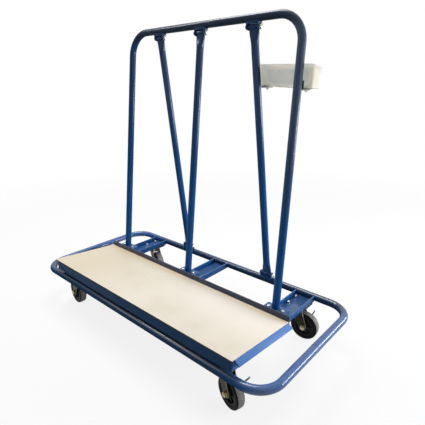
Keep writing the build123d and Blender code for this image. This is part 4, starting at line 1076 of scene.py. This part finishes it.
tyreSection = wheelProfile()
tyreSteps, treadFrom, treadFade = 96, 63.6, 0.8
treadShare = np.clip((tyreSection[:, 0] - treadFrom) / treadFade, 0, 1)
coreHalf = np.array([(10.05, -20.6), (15, -20.6), (18, -16), (18, -7), (39, -6), (40, -15.5), (45.95, -15.5)])
coreRadii = [0, 1, 2, 3, 3, 0.8, 0]
coreSection = roundedCorners(np.concatenate([coreHalf, (coreHalf * (1, -1))[::-1]]),
                             coreRadii + coreRadii[::-1], 4)
coreRib = prism(roundedCorners([(17, -13), (40, -9), (40, 9), (17, 13)], 1.5, 3), -2.5, 2.5, 0.8)
raceR, raceIn, raceTop, cupTop = caster["raceR"], caster["raceIn"], caster["raceTop"], caster["cupTop"]
race = lathe(section(raceIn, raceR, cupTop, raceTop, [0, 0, 1, 0.8], 3))
cup = lathe(section(boreR, raceR, caster["crownLow"], cupTop, 1.0, 3))

for corner, (sideX, sideY, turn) in caster["corners"].items():
    out = np.array([*cosSin(turn), 0])
    across = np.array([-out[1], out[0], 0])
    spot = np.array([sideX * caster["x"], sideY * caster["y"], 0])
    hub = spot + caster["trail"] * out + caster["wheelR"] * zAxis
    braked = corner in caster["levers"]
    words = corner.split("_")
    label = words[0] + words[1].capitalize()
    swivel, wheel = corner + "_swivel", corner + "_wheel"
    fork = [placed(forkShape(), spot, out, across, zAxis), moved(race, spot), moved(cup, spot)]
    putPiece(label + "Fork", fork, casterZinc, (corner + "_fork",), swivel)
    forkOut, axleR, flats = caster["forkOut"], caster["axleR"], caster["axleFlats"]
    headAt = caster["leverHigh"] + caster["headFit"] if braked else forkOut
    turned = (out, -zAxis, across)
    axle = [placed(hexHead(flats, caster["axleHead"]), hub + headAt * across, *turned),
            placed(cylinder(axleR, -forkOut, headAt), hub, *turned)]
    for shape in (washer(axleR + caster["boreFit"], caster["axleWasherR"], 0, caster["axleWasher"]),
                  hexHead(flats, *caster["axleNut"]), threadTail(axleR, *caster["axleTail"])):
        axle.append(placed(shape, hub - forkOut * across, -zAxis, out, -across))
    putPiece(label + "Axle", axle, brassyZinc, (corner + "_axle",), swivel)
    tyre = placed(lathe(tyreSection, tyreSteps), hub, *turned)
    putPiece(label + "Tyre", [tyre], rubber, (corner + "_tyre",), wheel, sharp=50,
             extra={"tread": np.repeat(treadShare, tyreSteps)})
    core = [placed(lathe(coreSection, 72), hub, *turned)]
    for angle in np.arange(6) * math.pi / 3:
        spoke = math.cos(angle) * out - math.sin(angle) * zAxis
        core.append(placed(coreRib, hub, spoke, across, np.cross(spoke, across)))
    putPiece(label + "Core", core, coreBlack, (corner + "_core",), wheel)
    if braked:
        cam = washer(axleR + caster["boreFit"], caster["camR"], forkOut, forkOut + caster["camThick"])
        putPiece(label + "BrakeCam", [placed(cam, hub, *turned)], brightZinc, (corner + "_brake_cam",),
                 swivel)
        raised, reach = caster["levers"][corner]
        leverCos, leverSin = cosSin(raised)
        tip = (reach * leverCos, reach * leverSin, caster["leverTip"])
        boss = [(0, 0, caster["leverHub"]), (0.35 * tip[0], 0.35 * tip[1], tip[2])]
        lever = []
        for circles in (boss, [(0, 0, tip[2]), tip]):
            bar = prism(hullOutline(circles, 120), -caster["leverHigh"], -caster["leverLow"], 1.0)
            lever.append(placed(bar, hub, out, zAxis, -across))
        putPiece(label + "BrakeLever", lever, dullZinc, (corner + "_brake_lever",), corner + "_brake")
print("casters done")

# stage: pale floor, soft light, white behind
stage = {"floor": 14.0, "seen": rgb(0.93, 0.93, 0.93), "bounce": rgb(0.34, 0.34, 0.34), "glow": 0.84,
         "near": 1.3, "far": 4.0, "skyLight": 0.27, "brightWay": (0.5, 0.7, 0.5), "frontRoom": 0.45,
         "roomSpan": (-0.5, 0.5)}
floorMesh = bpy.data.meshes.new("studioFloor")
floorCorners = rectangle(2 * stage["floor"], 2 * stage["floor"])
floorMesh.from_pydata([(x, y, 0) for x, y in floorCorners], [], [(0, 1, 2, 3)])
floor = bpy.data.objects.new("studioFloor", floorMesh)
scene.collection.objects.link(floor)
floorFinish = Finish("studioFloor", Roughness=0.9, Specular_IOR_Level=0.0, Emission_Color=rgb(1, 1, 1))
seen = floorFinish.seenDirectly()
away = floorFinish.add("ShaderNodeVectorMath", operation="LENGTH")
floorFinish.links.new(floorFinish.where, away.inputs[0])
fade = floorFinish.ramp(away.outputs["Value"], stage["near"], stage["far"], stage["glow"], 1.0)
white = floorFinish.times(fade, seen)
shade = floorFinish.mix(seen, stage["bounce"], stage["seen"])
floorFinish.links.new(white, floorFinish.shader.inputs["Emission Strength"])
floorMesh.materials.append(floorFinish.done(floorFinish.mix(white, shade, rgb(0, 0, 0))))

world = bpy.data.worlds.new("studioWorld")
world.use_nodes = True
scene.world = world
tree = Nodes(world.node_tree)
tree.nodes.clear()
facing = tree.add("ShaderNodeVectorMath", operation="DOT_PRODUCT")
facing.inputs[1].default_value = Vector(stage["brightWay"]).normalized()
tree.links.new(tree.add("ShaderNodeTexCoord").outputs["Generated"], facing.inputs[0])
room = tree.ramp(facing.outputs["Value"], *stage["roomSpan"], stage["frontRoom"], 1.0)
shown = tree.maths("MAXIMUM", tree.add("ShaderNodeLightPath").outputs["Is Camera Ray"], room)
strength = tree.add("ShaderNodeMapRange")
tree.set(strength, To_Min=stage["skyLight"])
tree.links.new(shown, strength.inputs["To Max"])
tree.links.new(tree.seenDirectly(), strength.inputs["Value"])
sky = tree.add("ShaderNodeBackground")
tree.set(sky, Color=rgb(1, 1, 1))
tree.links.new(strength.outputs["Result"], sky.inputs["Strength"])
tree.links.new(sky.outputs[0], tree.add("ShaderNodeOutputWorld").inputs["Surface"])

lamps = {"window": {"place": (2.55, 2.15, 1.2), "aim": (0.1, 0, 0.6), "size": (1.9, 1.9), "watts": 18.0},
         "lowWindow": {"place": (2.50, 1.87, 0.74), "aim": (0.74, 0, 0.185), "size": (2.4, 0.6),
                       "watts": 60.0},
         "ceiling": {"place": (-0.9, 0.5, 3.4), "aim": (0, 0, 0.3), "size": (1.6, 1.6), "watts": 72.0},
         "leftGlint": {"place": (-2.1, -0.7, 3.0), "aim": (0, 0, 0.3), "size": (0.6, 0.6), "watts": 14.0}}
for name, lamp in lamps.items():
    light = bpy.data.lights.new(name, "AREA")
    light.shape, light.energy = "RECTANGLE", lamp["watts"]
    light.size, light.size_y = lamp["size"]
    holder = bpy.data.objects.new(name, light)
    scene.collection.objects.link(holder)
    holder.location = lamp["place"]
    aim = Vector(lamp["aim"]) - Vector(lamp["place"])
    holder.rotation_euler = aim.to_track_quat("-Z", "Y").to_euler()

# camera fitted to the photograph
shot = {"place": (1.319704, -1.188591, 1.169176), "yaw": 41.875, "pitch": -15.615, "roll": -0.868,
        "focal": 392.392, "centre": (217.111, 190.19), "frame": 425.0, "sensor": 36.0}
yaw, pitch, roll = (math.radians(shot[k]) for k in ("yaw", "pitch", "roll"))
look = Vector((-math.sin(yaw) * math.cos(pitch), math.cos(yaw) * math.cos(pitch), math.sin(pitch)))
right = look.cross(Vector((0, 0, 1))).normalized()
upright = right.cross(look)
tiltRight = math.cos(roll) * right + math.sin(roll) * upright
tiltUp = -math.sin(roll) * right + math.cos(roll) * upright
lens = bpy.data.cameras.new("shotCamera")
lens.sensor_width = shot["sensor"]
lens.lens = shot["focal"] * shot["sensor"] / shot["frame"]
lens.shift_x = (shot["frame"] / 2 - shot["centre"][0]) / shot["frame"]
lens.shift_y = (shot["centre"][1] - shot["frame"] / 2) / shot["frame"]
camera = bpy.data.objects.new("shotCamera", lens)
scene.collection.objects.link(camera)
camera.matrix_world = Matrix((tiltRight, tiltUp, -look)).transposed().to_4x4()
camera.location = shot["place"]
scene.camera = camera
print("stage and camera done")

bpy.context.view_layer.update()
